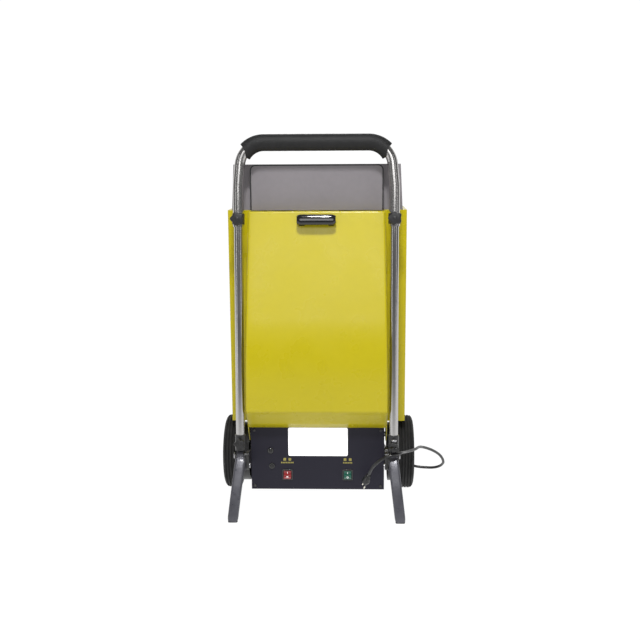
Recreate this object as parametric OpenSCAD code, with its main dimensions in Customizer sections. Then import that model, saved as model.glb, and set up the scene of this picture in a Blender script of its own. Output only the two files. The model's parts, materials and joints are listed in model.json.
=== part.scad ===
// Upright step cleaner: a walk-behind brush and vacuum machine on two wheels and two rear legs.
// Frame: origin on the floor under the middle of the machine, +Z up, +X to the right,
// -Y towards the person who holds the handle. All sizes are in millimetres.

/* [Casing] */
// Half width of the yellow front shell, at its rear flanges
shell_half_w = 260.5; // [254:0.5:264]
// Depth of the yellow front shell
shell_depth = 214; // [200:1:216]
// Height of the shell's lower edge above the floor
shell_z0 = 232; // [230:1:236]
// Height of the shell's upper edge above the floor
shell_z1 = 867; // [840:1:880]
// Sheet thickness of the casing
sheet_t = 2; // [2:0.5:3]
// Height of the grey upper housing's rear edge
upper_z1 = 998; // [980:1:1010]
// Half width of the grey upper housing at its foot
upper_half_w = 248; // [244:1:252]

/* [Rear hood] */
// Half width of the hood at its top
hood_half_top = 196; // [192:1:197]
// Half width of the hood at its foot
hood_half_low = 203.5; // [202:0.5:204]
// How far the hood bulges behind the flanges
hood_bulge = 148; // [140:1:150]

/* [Base] */
// Half width of the black base
base_half_w = 196; // [194:1:196]
// Rear face of the control panel, behind the flanges
panel_y = 90; // [88:1:91]
// Ground clearance under the base
base_z0 = 48; // [46:1:52]

/* [Wheels] */
// Radius of the road wheels
wheel_r = 112; // [110:1:113]
// Y of the axle
axle_y = 76; // [74:1:78]
// Outer face of each tyre, from the middle
wheel_x1 = 290.5; // [288:0.5:294]
// Width of each tyre
tyre_w = 54; // [50:1:56]

/* [Handle] */
// Distance of the handle tubes from the middle
tube_x = 220.5; // [220:0.5:221]
// Radius of the lower tubes
lower_r = 12.5; // [12:0.5:12.5]
// Outer radius of the upper loop's tube
upper_r = 15; // [14.5:0.5:15]
// Height of the pins that hold the handle sockets
pin_z = 170; // [168:1:172]
// How far behind the flanges those pins are
pin_y = 146; // [144:1:148]
// Forward lean of the handle
lean = 5.6; // [5:0.1:6]
// Length from the socket pins to the grip's axis
grip_h = 893; // [880:1:900]
// Radius of the foam grip
grip_r = 23.5; // [22:0.5:24]

/* [Hidden] */
$fn = 48;

yellow = [0.80, 0.74, 0.08];
grey = [0.50, 0.48, 0.49];
black = [0.10, 0.10, 0.12];
steel = [0.75, 0.76, 0.78];
bright = [0.88, 0.88, 0.90];
rubber = [0.07, 0.07, 0.07];

run = 0.05;                       // radial clearance of every running fit
base_z1 = shell_z0 - 0.1;
base_y1 = 222;
panel_t = 4;
panel_z1 = 239.5;
wall = 3;

// Rear hood: its section, as Y and Z
hood_y0 = -2;
hinge_y = -45;
hinge_z = 205;
hood_foot = [-96, 241.5];
hood_low = [-hood_bulge, 302];
hood_mid_z = 430;
hood_top = [-52, shell_z1 - 1];
ear_r = 20;
ear_t = 2.5;
hinge_pin_r = 4;

// Brush drive
brush_y = 150;
brush_z = 62;
brush_r = 60;
brush_core_r = 26;
brush_x0 = -170;
brush_x1 = 140;
belt_x = 157;
belt_w = 10;
brush_pulley_r = 28;
motor_pulley_r = 14;
motor_y = 0;
motor_z = 132;
motor_r = 44;
bearing_r = 16;
shaft_r = 8;

// Road wheels
axle_r = 8;
tyre_x0 = wheel_x1 - tyre_w;
barrel_x0 = 212;
barrel_r = 90;
rim_r = 72;
bearing_od = 17.5;

// Front rollers
roller_r = 16;
roller_y = 196;
roller_x = 181;

// Handle
loop_bend = 68;
loop_wall = 2;
collar_h = 680;                   // distance of the upper knobs from the socket pins
tube_top = 735;                   // upper end of the lower tubes, inside the loop
lean_in = 5;                      // inward lean of the loop above its straight part
straight_top = 765;               // upper end of the loop's straight part
knee_r = 120;                     // bend radius between the straight part and the lean
knee_x = tube_x - knee_r * (1 - cos(lean_in));
knee_z = straight_top + knee_r * sin(lean_in);
lean_h = grip_h - loop_bend + loop_bend * sin(lean_in) - knee_z;
bend_x = knee_x - lean_h * tan(lean_in) - loop_bend * cos(lean_in);
socket_r = 15.5;
socket_z0 = 22;
socket_z1 = 62;
eye_r = 16;
pin_r = 5;
cheek_t = 5;
eye_half = 10.3;
leg_w = 30;
leg_thick = 17;
leg_splay = 6.7;
foot_x = tube_x + 16.8;
knob_out = -33.5;                 // distance of the right lower knob behind its tube
bolt_y = -pin_y + 6;
bolt_z = pin_z - 31;

// Switches and rating plate on the control panel
rocker_z = 93;
rocker_w = 26;
rocker_h = 29;
rocker_axis_y = 4;                // turning axis behind the panel's face
red_x = -89.5;
green_x = 88.5;
reset_pos = [[-138.5, 167], [-135, 120]];
plate_x = [-86, 89];
plate_z = [151, 237.5];

// Power cord: radius, and its route from the gland to the plug
cord_r = 4.25;
gland_pos = [base_half_w, 190, 84];
cord_route = [
    [222, 190, 84], [238, 191, 80], [252, 193, 66], [268, 196, 46], [288, 199, 28], [309, 200, 19],
    [328, 198, 16.5], [347, 196, 16], [363, 192, 17], [377, 186, 21], [388, 178, 28], [394, 166, 38],
    [396, 152, 49], [393, 138, 63], [387, 125, 76], [379, 113, 88], [369, 100, 99], [356, 84, 111],
    [342, 67, 122], [328, 49, 132], [316, 31, 140], [307, 9, 147], [300, -12, 151.5],
    [292.5, -34, 155], [280, -58, 159], [266, -84, 164], [254, -112, 171], [248, -138, 179],
    [241, -158, 184], [230, -170, 184.5], [217, -176, 183.5], [203, -178, 179.5], [187, -177, 171.5],
    [173, -174, 160], [161.5, -167.5, 145.5], [154.3, -159, 130], [150, -150, 115.6]
];
cord_sides = 8;
plug_top = [150, -150, 115.6];
plug_foot = [140.5, -129, 86];
plug_len = norm(plug_top - plug_foot);

// ---------- helpers ----------

function smoothed(p) = [
    for (i = [0:len(p) - 1]) for (k = [0:(i < len(p) - 1 ? 1 : 0)])
        k == 0 ? p[i] : spline_mid(p[max(i - 1, 0)], p[i], p[i + 1], p[min(i + 2, len(p) - 1)])
];
function spline_mid(a, b, c, d) = (9 * (b + c) - a - d) / 16;
function unit(v) = v / norm(v);
function arc(c, r, a0, a1, n) = [
    for (i = [0:n]) [c[0] + r * cos(a0 + (a1 - a0) * i / n), c[1] + r * sin(a0 + (a1 - a0) * i / n)]
];

// A rod swept along a route of points, closed at both ends; its rings turn about `ref`
module swept(route, r, sides, ref = [0.05, 0.1, 1]) {
    last = len(route) - 1;
    rings = [
        for (i = [0:last]) let (
            t = unit(route[min(i + 1, last)] - route[max(i - 1, 0)]),
            u = unit(cross(t, ref)),
            v = cross(t, u)
        ) [for (k = [0:sides - 1]) let (a = 360 * k / sides) route[i] + r * (u * cos(a) + v * sin(a))]
    ];
    points = [for (ring = rings) each ring];
    faces = concat(
        [[for (k = [0:sides - 1]) k]],
        [for (i = [0:last - 1]) for (k = [0:sides - 1]) [
            i * sides + k, (i + 1) * sides + k,
            (i + 1) * sides + (k + 1) % sides, i * sides + (k + 1) % sides
        ]],
        [[for (k = [sides - 1:-1:0]) last * sides + k]]
    );
    polyhedron(points, faces);
}

module both_sides() {
    children();
    mirror([1, 0, 0]) children();
}

// A cylinder along X from x0 to x1
module rod_x(r, x0, x1) {
    translate([x0, 0, 0]) rotate([0, 90, 0]) cylinder(r = r, h = x1 - x0);
}

// A cylinder towards -Y from y = 0
module rod_rear(r, h) {
    rotate([90, 0, 0]) cylinder(r = r, h = h);
}

// A block between two corners
module block(a, b) {
    translate(a) cube(b - a);
}

// A plan outline, square at the rear and rounded at its front corners
module plan(half_w, y0, y1, r) {
    polygon(concat(
        [[-half_w, y0], [half_w, y0]],
        arc([half_w - r, y1 - r], r, 0, 90, 10),
        arc([-half_w + r, y1 - r], r, 90, 180, 10)
    ));
}

module rounded_rect(w, h, r) {
    hull() for (x = [-1, 1], z = [-1, 1]) translate([x * (w / 2 - r), z * (h / 2 - r)]) circle(r, $fn = 24);
}

// A plate parallel to the control panel, rear face at y = 0, centred on the origin
module plate_rear(w, h, r, t) {
    rotate([90, 0, 0]) translate([0, 0, -t]) linear_extrude(t) rounded_rect(w, h, r);
}

// The handle's own frame: origin between the socket pins, Z along the tubes
module on_handle() {
    translate([0, -pin_y, pin_z]) rotate([-lean, 0, 0]) children();
}

module bushing(outer, inner, x0, x1) {
    difference() {
        rod_x(outer, x0, x1);
        rod_x(inner, x0 - 1, x1 + 1);
    }
}

// ---------- base ----------

module base_housing() {
    color(black) difference() {
        translate([0, 0, base_z0]) linear_extrude(base_z1 - base_z0)
            plan(base_half_w, -panel_y + panel_t, base_y1, 14);
        // rear room for the brush motor and the wiring, open to the control panel
        block([-base_half_w + wall, -panel_y, base_z0 + wall], [base_half_w - wall, 79, base_z1 - wall]);
        // brush chamber, open below
        block([-base_half_w + wall, 82, base_z0 - 1], [base_half_w - wall, base_y1 - wall, 160]);
        // hollow over the brush chamber, open to the rear room
        block([-base_half_w + wall, 70, 163], [base_half_w - wall, base_y1 - wall, base_z1 - wall]);
        // belt slot between the two rooms
        block([belt_x - 12, 70, 58], [belt_x + 12, 90, 150]);
        // suction mouths in the two roofs
        block([-60, 150, 150], [60, 200, base_z1 + 1]);
        // bearing seats, axle holes and the cord's hole
        translate([0, brush_y, brush_z]) rod_x(bearing_r, -300, 300);
        both_sides() translate([0, axle_y, wheel_r]) {
            rod_x(axle_r, base_half_w - 20, 300);
            rod_x(13.5, base_half_w - wall - 9, base_half_w - wall);
        }
        translate([100, gland_pos[1], gland_pos[2]]) rod_x(8, 0, 200);
        translate([0, hinge_y, hinge_z]) rod_x(hinge_pin_r, -300, 300);
    }
}

module control_panel() {
    color([0.2, 0.2, 0.24]) difference() {
        block([-base_half_w, -panel_y, base_z0], [base_half_w, -panel_y + panel_t - 0.02, panel_z1]);
        for (x = [red_x, green_x]) translate([x, 0, rocker_z])
            cube([rocker_w + 1, 300, rocker_h + 1], center = true);
        for (p = reset_pos) translate([p[0], 0, p[1]]) rod_rear(6, 200);
    }
}

module rating_plate() {
    w = plate_x[1] - plate_x[0];
    h = plate_z[1] - plate_z[0];
    color("white") translate([plate_x[0] + w / 2, -panel_y - 1.2, plate_z[0] + h / 2])
        plate_rear(w, h, 6, 1.2);
}

module rocker_bezels() {
    color(black) for (x = [red_x, green_x]) translate([x, -panel_y - 2, rocker_z]) difference() {
        union() {
            plate_rear(rocker_w + 5, rocker_h + 5, 2, 2);
            translate([-rocker_w / 2 - 0.3, 0, -rocker_h / 2 - 0.3])
                cube([rocker_w + 0.6, 24, rocker_h + 0.6]);
        }
        translate([-rocker_w / 2 + 1.5, -1, -rocker_h / 2 + 1.5]) cube([rocker_w - 3, 22, rocker_h - 3]);
        translate([0, rocker_axis_y + 2, 0]) rod_x(1.5 + run, -rocker_w / 2 + 0.5, rocker_w / 2 - 0.5);
    }
}

// A rocker key: two faces that meet in a shallow ridge, and trunnions on its turning axis
module rocker(x) {
    half = rocker_h / 2 - 2.5;
    translate([x, -panel_y, rocker_z]) {
        across(-rocker_w / 2 + 2, rocker_w / 2 - 2) polygon([
            [9, -half + 4], [9, half - 4], [-1.5, half], [-3.2, 0], [-6.2, -half]
        ]);
        translate([0, rocker_axis_y, 0]) rod_x(1.5, -rocker_w / 2 + 0.7, rocker_w / 2 - 0.7);
    }
}
module rocker_red() {
    color([0.75, 0.08, 0.06]) rocker(red_x);
}
module rocker_green() {
    color([0.05, 0.50, 0.35]) rocker(green_x);
}

module reset_collars() {
    color(black) for (p = reset_pos) translate([p[0], -panel_y, p[1]]) difference() {
        union() {
            rod_rear(9, 3);
            translate([0, 18, 0]) rod_rear(5.9, 18);
        }
        translate([0, 30, 0]) rod_rear(4.5, 40);
    }
}

module reset_button(p) {
    color([0.16, 0.16, 0.17]) translate([p[0], -panel_y + 12, p[1]]) rod_rear(4.4, 18.5);
}
module reset_button_upper() {
    reset_button(reset_pos[0]);
}
module reset_button_lower() {
    reset_button(reset_pos[1]);
}

module cable_gland() {
    color(black) translate(gland_pos) difference() {
        union() {
            rod_x(13, 0, 6);
            rotate([0, 90, 0]) translate([0, 0, 6]) cylinder(r1 = 9, r2 = 5.6, h = 20);
            rod_x(7.9, -14, 0);
        }
        rod_x(cord_r + 0.4, -20, 27);
    }
}

module brush_skirt() {
    color(rubber) difference() {
        translate([0, 0, 14]) linear_extrude(40) plan(base_half_w - wall - 0.1, 84, base_y1 - wall - 0.1, 6);
        translate([0, 0, 13]) linear_extrude(42) plan(base_half_w - wall - 3, 87, base_y1 - wall - 3, 4);
        // the bearings and the front rollers pass the skirt
        translate([0, brush_y, brush_z]) rod_x(bearing_r + 0.5, -300, 300);
        for (s = [-1, 1]) translate([s * roller_x, roller_y, 30])
            cube([30, 2 * roller_r + 30, 60], center = true);
    }
}

module front_bumper() {
    color(rubber) translate([0, 0, 118]) linear_extrude(34) difference() {
        plan(base_half_w + 8, 120, base_y1 + 10, 22);
        plan(base_half_w + 0.05, 110, base_y1 + 0.05, 14);
    }
}

module brush_bearings() {
    color(steel) both_sides() translate([0, brush_y, brush_z]) difference() {
        union() {
            rod_x(bearing_r - 0.02, base_half_w - wall, base_half_w);
            rod_x(13, 182, base_half_w - wall);
            rod_x(20, base_half_w, base_half_w + 3);
        }
        rod_x(shaft_r + run, 180, 194);
    }
}

module brush_motor() {
    color([0.25, 0.26, 0.28]) {
        translate([0, motor_y, motor_z]) difference() {
            union() {
                rod_x(motor_r, -95, 80);
                rod_x(motor_r - 8, 80, 100);
                rod_x(motor_r - 12, -108, -95);
                for (a = [0:30:330]) rotate([a, 0, 0]) translate([-80, -1.5, motor_r - 2])
                    cube([140, 3, 5.5]);
            }
            rod_x(shaft_r + run, 20, 101);
        }
        // feet of the motor on the base's floor
        for (x = [-70, 50]) difference() {
            block([x, motor_y - 50, base_z0 + wall], [x + 24, motor_y + 50, motor_z - 20]);
            translate([0, motor_y, motor_z]) rod_x(motor_r - 1, -200, 200);
        }
    }
}

module motor_pulley() {
    color(steel) translate([0, motor_y, motor_z]) {
        rod_x(shaft_r, 30, belt_x + 8);
        rod_x(motor_pulley_r, belt_x - 6, belt_x + 6);
        rod_x(motor_pulley_r + 4, belt_x - 8, belt_x - 6);
        rod_x(motor_pulley_r + 4, belt_x + 6, belt_x + 8);
    }
}

// An open belt round two round pulleys, as a flat loop
module belt_outline(grow) {
    hull() {
        translate([motor_y, motor_z]) circle(motor_pulley_r + grow, $fn = 64);
        translate([brush_y, brush_z]) circle(brush_pulley_r + grow, $fn = 64);
    }
}
module drive_belt() {
    color(rubber) translate([belt_x - belt_w / 2, 0, 0]) rotate([90, 0, 90]) linear_extrude(belt_w)
        difference() {
            belt_outline(3.4);
            belt_outline(0.1);
        }
}

module brush_shaft() {
    color(steel) translate([0, brush_y, brush_z]) {
        rod_x(shaft_r, -193, 193);
        difference() {
            rod_x(brush_core_r, brush_x0, brush_x1);
            rod_x(brush_core_r - 4, brush_x0 - 1, -45);
            rod_x(brush_core_r - 4, 15, brush_x1 + 1);
        }
        rod_x(brush_pulley_r, belt_x - 6, belt_x + 6);
        for (x = [belt_x - 8, belt_x + 6]) rod_x(brush_pulley_r + 4, x, x + 2);
    }
}

module brush_bristles() {
    color([0.12, 0.14, 0.2]) translate([0, brush_y, brush_z]) rotate([0, 90, 0])
        translate([0, 0, brush_x0 + 3]) linear_extrude(brush_x1 - brush_x0 - 6) difference() {
            union() {
                circle(brush_core_r + 4);
                for (a = [0:45:315]) rotate(a) translate([0, -7]) square([brush_r - 0.5, 14]);
            }
            circle(brush_core_r);
        }
}

// ---------- casing ----------

module front_shell() {
    flange_in = hood_half_top - 30;
    color(yellow) difference() {
        translate([0, 0, shell_z0]) linear_extrude(shell_z1 - shell_z0)
            plan(shell_half_w, 0, shell_depth, 46);
        translate([0, 0, shell_z0 + sheet_t]) linear_extrude(shell_z1 - shell_z0 - 2 * sheet_t)
            plan(shell_half_w - sheet_t, sheet_t, shell_depth - sheet_t, 46 - sheet_t);
        // the opening that the rear hood covers
        block([-flange_in, -1, shell_z0 + 30], [flange_in, sheet_t + 1, shell_z1 - 40]);
        // duct in the floor, air holes in the roof
        block([-60, 150, shell_z0 - 1], [60, 200, shell_z0 + sheet_t + 1]);
        translate([0, 100, shell_z1 - sheet_t - 1]) cylinder(r = 70, h = sheet_t + 2);
    }
}

module door_seal() {
    out = hood_half_top - 12;
    inn = hood_half_top - 22;
    color(rubber) translate([0, 0, shell_z0 + 14]) difference() {
        block([-out, -4, 0], [out, 0, shell_z1 - shell_z0 - 44]);
        block([-inn, -5, 10], [inn, 1, shell_z1 - shell_z0 - 54]);
    }
}

// The upper housing's body, inset all round: rounded in plan, its sides tapering slightly
module upper_body(in, z0, z1) {
    half = upper_half_w - in;
    taper = 0.000205 * half;
    intersection() {
        translate([0, 0, z0]) linear_extrude(z1 - z0) plan(half + 4, in, shell_depth - 8 - in, 46 - in);
        rotate([90, 0, 0]) translate([0, 0, -shell_depth]) linear_extrude(2 * shell_depth) polygon([
            [-half - 20 * taper, z0 - 20], [half + 20 * taper, z0 - 20],
            [half - (z1 - z0 + 20) * taper, z1 + 20], [-half + (z1 - z0 + 20) * taper, z1 + 20]
        ]);
    }
}

// The raised middle panel's outline, with rounded upper corners
module raised_panel(in) {
    half = 191 - in;
    top = upper_z1 - 1 - in;
    polygon(concat(
        [[-half, shell_z1 + in], [half, shell_z1 + in]],
        arc([half - 16, top - 16], 16, 0, 90, 8),
        arc([-half + 16, top - 16], 16, 90, 180, 8)
    ));
}

module upper_housing() {
    color(grey) difference() {
        union() {
            upper_body(0, shell_z1, upper_z1);
            rotate([90, 0, 0]) linear_extrude(25) raised_panel(0);
        }
        // hollow under the sloping roof sheet
        difference() {
            union() {
                translate([0, 0, -1]) upper_body(sheet_t, shell_z1, upper_z1);
                rotate([90, 0, 0]) translate([0, 0, -sheet_t - 1]) linear_extrude(26) raised_panel(sheet_t);
            }
            translate([-300, 0, upper_z1]) rotate([-14, 0, 0]) translate([0, -30, -sheet_t])
                cube([600, 430, 200]);
        }
        // sloping top
        translate([-300, 0, upper_z1]) rotate([-14, 0, 0]) cube([600, 400, 200]);
        // seat of the exhaust grille
        block([-120, 70, shell_z1 + 20], [120, 150, upper_z1 + 5]);
    }
}

module exhaust_grille() {
    color(black) translate([0, 0, upper_z1]) rotate([-14, 0, 0]) difference() {
        block([-119.5, 73.6, -4], [119.5, 153, 1]);
        for (x = [-108:12:108]) block([x - 3, 80, -6], [x + 3, 146, 3]);
    }
}

module dust_box() {
    color([0.3, 0.31, 0.33]) difference() {
        translate([0, 0, shell_z0 + 40]) linear_extrude(300) plan(165, 14, 140, 18);
        translate([0, 0, shell_z0 + 43]) linear_extrude(300) plan(162, 17, 137, 15);
        block([-40, 130, 480], [40, 145, 540]);
    }
}

module filter_cartridge() {
    color([0.85, 0.84, 0.8]) translate([0, 100, shell_z1 - 259.1]) difference() {
        union() {
            cylinder(r = 60, h = 6);
            translate([0, 0, 6]) linear_extrude(200) polygon([
                for (i = [0:71]) let (r = i % 2 == 0 ? 56 : 46) [r * cos(i * 5), r * sin(i * 5)]
            ]);
            translate([0, 0, 206]) cylinder(r = 60, h = 8);
        }
        translate([0, 0, 4]) cylinder(r = 30, h = 211);
    }
}

module vacuum_motor() {
    color([0.35, 0.36, 0.38]) translate([0, 100, 0]) difference() {
        union() {
            translate([0, 0, shell_z1 - 45]) cylinder(r = 66, h = 74);
            // flange that hangs from the shell's roof
            translate([0, 0, shell_z1 - sheet_t - 5.02]) cylinder(r = 82, h = 5);
        }
        translate([0, 0, shell_z1 - 38]) cylinder(r = 58, h = 28);
        translate([0, 0, shell_z1 - 46]) cylinder(r = 25, h = 10);
        translate([0, 0, shell_z1 - 12]) cylinder(r = 5 + run, h = 20);
    }
}

module vacuum_fan() {
    color(bright) translate([0, 100, shell_z1 - 32]) difference() {
        union() {
            cylinder(r = 55, h = 2);
            cylinder(r = 12, h = 18);
            cylinder(r = 5, h = 38);
            for (a = [0:40:320]) rotate(a) translate([11, -1, 1]) cube([42, 2, 14]);
        }
        translate([0, 0, -1]) cylinder(r = 2, h = 20);
    }
}

module suction_duct() {
    color(black) difference() {
        union() {
            block([-59.9, 150.1, 160.1], [59.9, 199.9, shell_z0 + 60]);
            block([-40, 150.1, shell_z0 + 60], [40, 199.9, 540]);
            block([-39.9, 137.1, 480.1], [39.9, 151, 539.9]);
        }
        block([-56, 154, 150], [56, 196, shell_z0 + 56]);
        block([-36, 154, shell_z0 + 50], [36, 196, 536]);
        block([-36, 130, 484], [36, 160, 536]);
    }
}

module housing_screws() {
    color(black) {
        for (x = [-186, 186], z = [58, 229]) translate([x, -panel_y - 0.02, z]) rod_rear(4.5, 2);
        both_sides() for (y = [50, 150], z = [shell_z0 + 20, shell_z1 - 20])
            translate([shell_half_w + 0.02, y, z]) rod_x(5, 0, 2.5);
    }
}

// ---------- rear hood ----------

// Outer side profile of the hood, Y and Z, from its foot to its top
function hood_profile(in) = concat(
    [[hood_y0, hood_foot[1] - 4], [hood_foot[0] + 2 * in, hood_foot[1] - 4],
        hood_foot + [in, 0], hood_low + [in, in * 0.3]],
    [for (i = [0:8]) let (t = i / 8)
        (1 - t) * (1 - t) * [hood_low[0], hood_mid_z - 60]
        + 2 * t * (1 - t) * [hood_low[0], hood_mid_z + 40]
        + t * t * [hood_low[0] + 28, hood_mid_z + 150] + [in, 0]],
    [hood_top + [in - 10, -14 - in], hood_top + [in - 4, -3 - in], hood_top + [in + 4, -in],
        [hood_y0, hood_top[1] - in]]
);

// A side view profile extruded across the machine
module across(x0, x1) {
    translate([x0, 0, 0]) rotate([90, 0, 90]) linear_extrude(x1 - x0) children();
}

// Front view trapezium of the hood, as a slab through its whole depth
module hood_width(in) {
    rotate([90, 0, 0]) translate([0, 0, -20]) linear_extrude(260) polygon([
        [-hood_half_low + in, 100], [hood_half_low - in, 100], [hood_half_low - in, hood_low[1]],
        [hood_half_top - in, hood_top[1] + 5], [-hood_half_top + in, hood_top[1] + 5],
        [-hood_half_low + in, hood_low[1]]
    ]);
}

module rear_hood() {
    color(yellow) difference() {
        union() {
            intersection() {
                across(-260, 260) polygon(hood_profile(0));
                hood_width(0);
            }
            // ears that carry the hinge pins
            both_sides() across(hood_half_low - ear_t, hood_half_low) polygon(concat(
                [[hood_y0, hood_foot[1] + 10], [hood_foot[0], hood_foot[1] + 10], hood_foot],
                arc([hinge_y, hinge_z], ear_r, 215, 330, 8), [[hood_y0, hood_foot[1]]]
            ));
        }
        intersection() {
            across(-260, 260) polygon(concat(
                [[hood_y0 + 10, hood_foot[1] - 30], [hood_foot[0] + 6, hood_foot[1] - 30]],
                [for (p = hood_profile(2.5)) if (p[1] > hood_foot[1] - 1 && p[0] < hood_y0 - 1) p],
                [[hood_y0 + 10, hood_top[1] - 2.5]]
            ));
            hood_width(ear_t);
        }
        translate([0, hinge_y, hinge_z]) rod_x(hinge_pin_r + run, -300, 300);
    }
}

module hinge_pins() {
    color(steel) both_sides() translate([0, hinge_y, hinge_z]) {
        rod_x(hinge_pin_r, base_half_w - wall - 4, hood_half_low + 0.5);
        rod_x(7.5, base_half_w, hood_half_low - ear_t - 0.3);
        rod_x(6.5, hood_half_low + 0.4, hood_half_low + 2);
    }
}

// Gloss pull handle: a flat bow on two posts
module pull_handle() {
    z = 839;
    half = 56;
    lie = -58;
    color(black) translate([0, lie, z]) rotate([-12.5, 0, 0]) difference() {
        union() {
            rotate([90, 0, 0]) translate([0, 0, 20]) linear_extrude(13) rounded_rect(2 * half, 30, 12);
            for (s = [-1, 1]) translate([s * (half - 15), 0, 0]) rod_rear(11, 22);
        }
        // the fingers reach in under the bow's lower edge
        translate([0, -18, -14]) rod_x(7, -34, 34);
    }
}

// ---------- chassis sides ----------

module side_bracket() {
    difference() {
        union() {
            // plate on the base's side wall
            across(base_half_w, base_half_w + 4.4) hull() {
                translate([axle_y, wheel_r + 10]) circle(30);
                translate([-60, 146]) circle(20);
            }
            translate([0, axle_y, wheel_r]) rod_x(19, base_half_w, 206);
            // arm to the leg and to the socket's pin
            across(base_half_w, 204.6) hull() {
                translate([-70, 146]) circle(16);
                translate([-pin_y, pin_z]) circle(12);
                translate([-pin_y + 2, pin_z - 32]) circle(10);
            }
        }
        translate([0, axle_y, wheel_r]) rod_x(axle_r, 100, 300);
        translate([0, -pin_y, pin_z]) rod_x(pin_r, 100, 300);
        translate([0, bolt_y, bolt_z]) rod_x(pin_r, 100, 300);
    }
}
module side_bracket_right() {
    color(black) side_bracket();
}
module side_bracket_left() {
    color(black) mirror([1, 0, 0]) side_bracket();
}

// A bowed cast leg: an eye between the socket's cheeks, and a bar that sweeps back and down
leg_start = [-pin_y - 4, pin_z + 2];
leg_pull = [-pin_y - 57, pin_z - 50];
leg_end = [-pin_y - 78, 0];
function leg_point(t) = (1 - t) * (1 - t) * leg_start + 2 * t * (1 - t) * leg_pull + t * t * leg_end;
function leg_dir(t) = unit((1 - t) * (leg_pull - leg_start) + t * (leg_end - leg_pull));
function leg_edge(off) = [
    for (i = [0:14]) let (d = leg_dir(i / 14)) leg_point(i / 14) + off * [d[1], -d[0]]
];
module leg() {
    foot_in = leg_thick / 2;
    difference() {
        union() {
            translate([0, -pin_y, pin_z]) rod_x(eye_r, tube_x - eye_half, tube_x + eye_half);
            translate([tube_x, 0, pin_z - 20]) rotate([0, -leg_splay, 0])
                translate([-leg_w / 2, 0, -pin_z + 20]) intersection() {
                    across(0, leg_w) polygon(concat(
                        leg_edge(foot_in), [for (i = [14:-1:0]) leg_edge(-foot_in)[i]]
                    ));
                    // the bar starts below the socket's cheeks
                    block([-1, -300, -20], [leg_w + 1, 0, pin_z - 17.5]);
                }
            // neck and inner shoulder that joins the side bracket
            block([tube_x - eye_half, -pin_y - 15, pin_z - 34], [tube_x + eye_half, -pin_y + 12, pin_z]);
            block([204.7, -pin_y - 8, pin_z - 44], [tube_x + eye_half, -pin_y + 20, pin_z - 17.5]);
        }
        translate([0, -pin_y, pin_z]) rod_x(pin_r, 100, 300);
        translate([0, bolt_y, bolt_z]) rod_x(pin_r, 100, 300);
        // level end above the foot pad
        block([150, -300, -20], [300, 0, 5]);
    }
}
module leg_right() {
    color([0.2, 0.2, 0.2]) leg();
}
module leg_left() {
    color([0.2, 0.2, 0.2]) mirror([1, 0, 0]) leg();
}

module foot_pad() {
    translate([foot_x, -pin_y - 77.2, 0]) linear_extrude(4.98) rounded_rect(27, 15, 5);
}
module foot_pad_right() {
    color(rubber) foot_pad();
}
module foot_pad_left() {
    color(rubber) mirror([1, 0, 0]) foot_pad();
}

module leg_pins() {
    outer = tube_x + eye_half + cheek_t;
    color(steel) both_sides() {
        translate([0, -pin_y, pin_z]) {
            rod_x(pin_r, base_half_w + 1, outer + 2);
            rod_x(8, outer + 0.6, outer + 4);
        }
        translate([0, bolt_y, bolt_z]) {
            rod_x(pin_r, base_half_w + 1, tube_x + eye_half + 1);
            rod_x(8, base_half_w - 3, base_half_w + 1 - 1.02);
        }
    }
}

module stub_axles() {
    color(steel) both_sides() translate([0, axle_y, wheel_r]) {
        rod_x(axle_r, base_half_w - 8, wheel_x1 - 8);
        rod_x(13, base_half_w - wall - 8, base_half_w - wall);
        rod_x(15, 206, 209);
        rod_x(12, 209, 211.5);
        rod_x(11, wheel_x1 - 12, wheel_x1 - 6);
    }
}

// ---------- wheels ----------

function tyre_section() = concat(
    [[rim_r, tyre_x0], [wheel_r - 26, tyre_x0], [wheel_r - 4, tyre_x0 + 6]],
    [for (g = [0:3]) for (p = [[0, 0], [0, 5.5], [-4, 6.5], [-4, 9], [0, 10]])
        [wheel_r + p[0], tyre_x0 + 7 + g * 9.5 + p[1] * 0.95]],
    [[wheel_r - 1, wheel_x1 - 8], [wheel_r - 6, wheel_x1 - 3], [wheel_r - 14, wheel_x1],
        [rim_r + 4, wheel_x1], [rim_r, wheel_x1 - 4]]
);
module tyre() {
    translate([0, axle_y, wheel_r]) rotate([90, 0, 90]) rotate_extrude($fn = 96) polygon(tyre_section());
}
module tyre_right() {
    color(rubber) tyre();
}
module tyre_left() {
    color(rubber) mirror([1, 0, 0]) tyre();
}

module rim() {
    translate([0, axle_y, wheel_r]) difference() {
        union() {
            rod_x(rim_r, tyre_x0 - 0.5, wheel_x1 - 6);
            rod_x(barrel_r, barrel_x0, tyre_x0 - 0.1);
        }
        rod_x(rim_r - 5, wheel_x1 - 20, wheel_x1);
        rod_x(barrel_r - 5, barrel_x0 - 1, barrel_x0 + 12);
        rod_x(12, barrel_x0 - 1, wheel_x1);
        for (x = [barrel_x0 + 12, wheel_x1 - 30]) rod_x(bearing_od, x - 0.1, x + 10.1);
        for (a = [0:60:300]) rotate([a, 0, 0]) translate([0, 0, 43]) rod_x(14, 200, 300);
    }
    translate([0, axle_y, wheel_r]) difference() {
        rod_x(24, barrel_x0 + 2, wheel_x1 - 20);
        rod_x(12, barrel_x0 - 1, wheel_x1);
        for (x = [barrel_x0 + 12, wheel_x1 - 30]) rod_x(bearing_od, x - 0.1, x + 10.1);
        rod_x(bearing_od, barrel_x0, barrel_x0 + 13);
    }
}
module rim_right() {
    color(black) rim();
}
module rim_left() {
    color(black) mirror([1, 0, 0]) rim();
}

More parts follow.
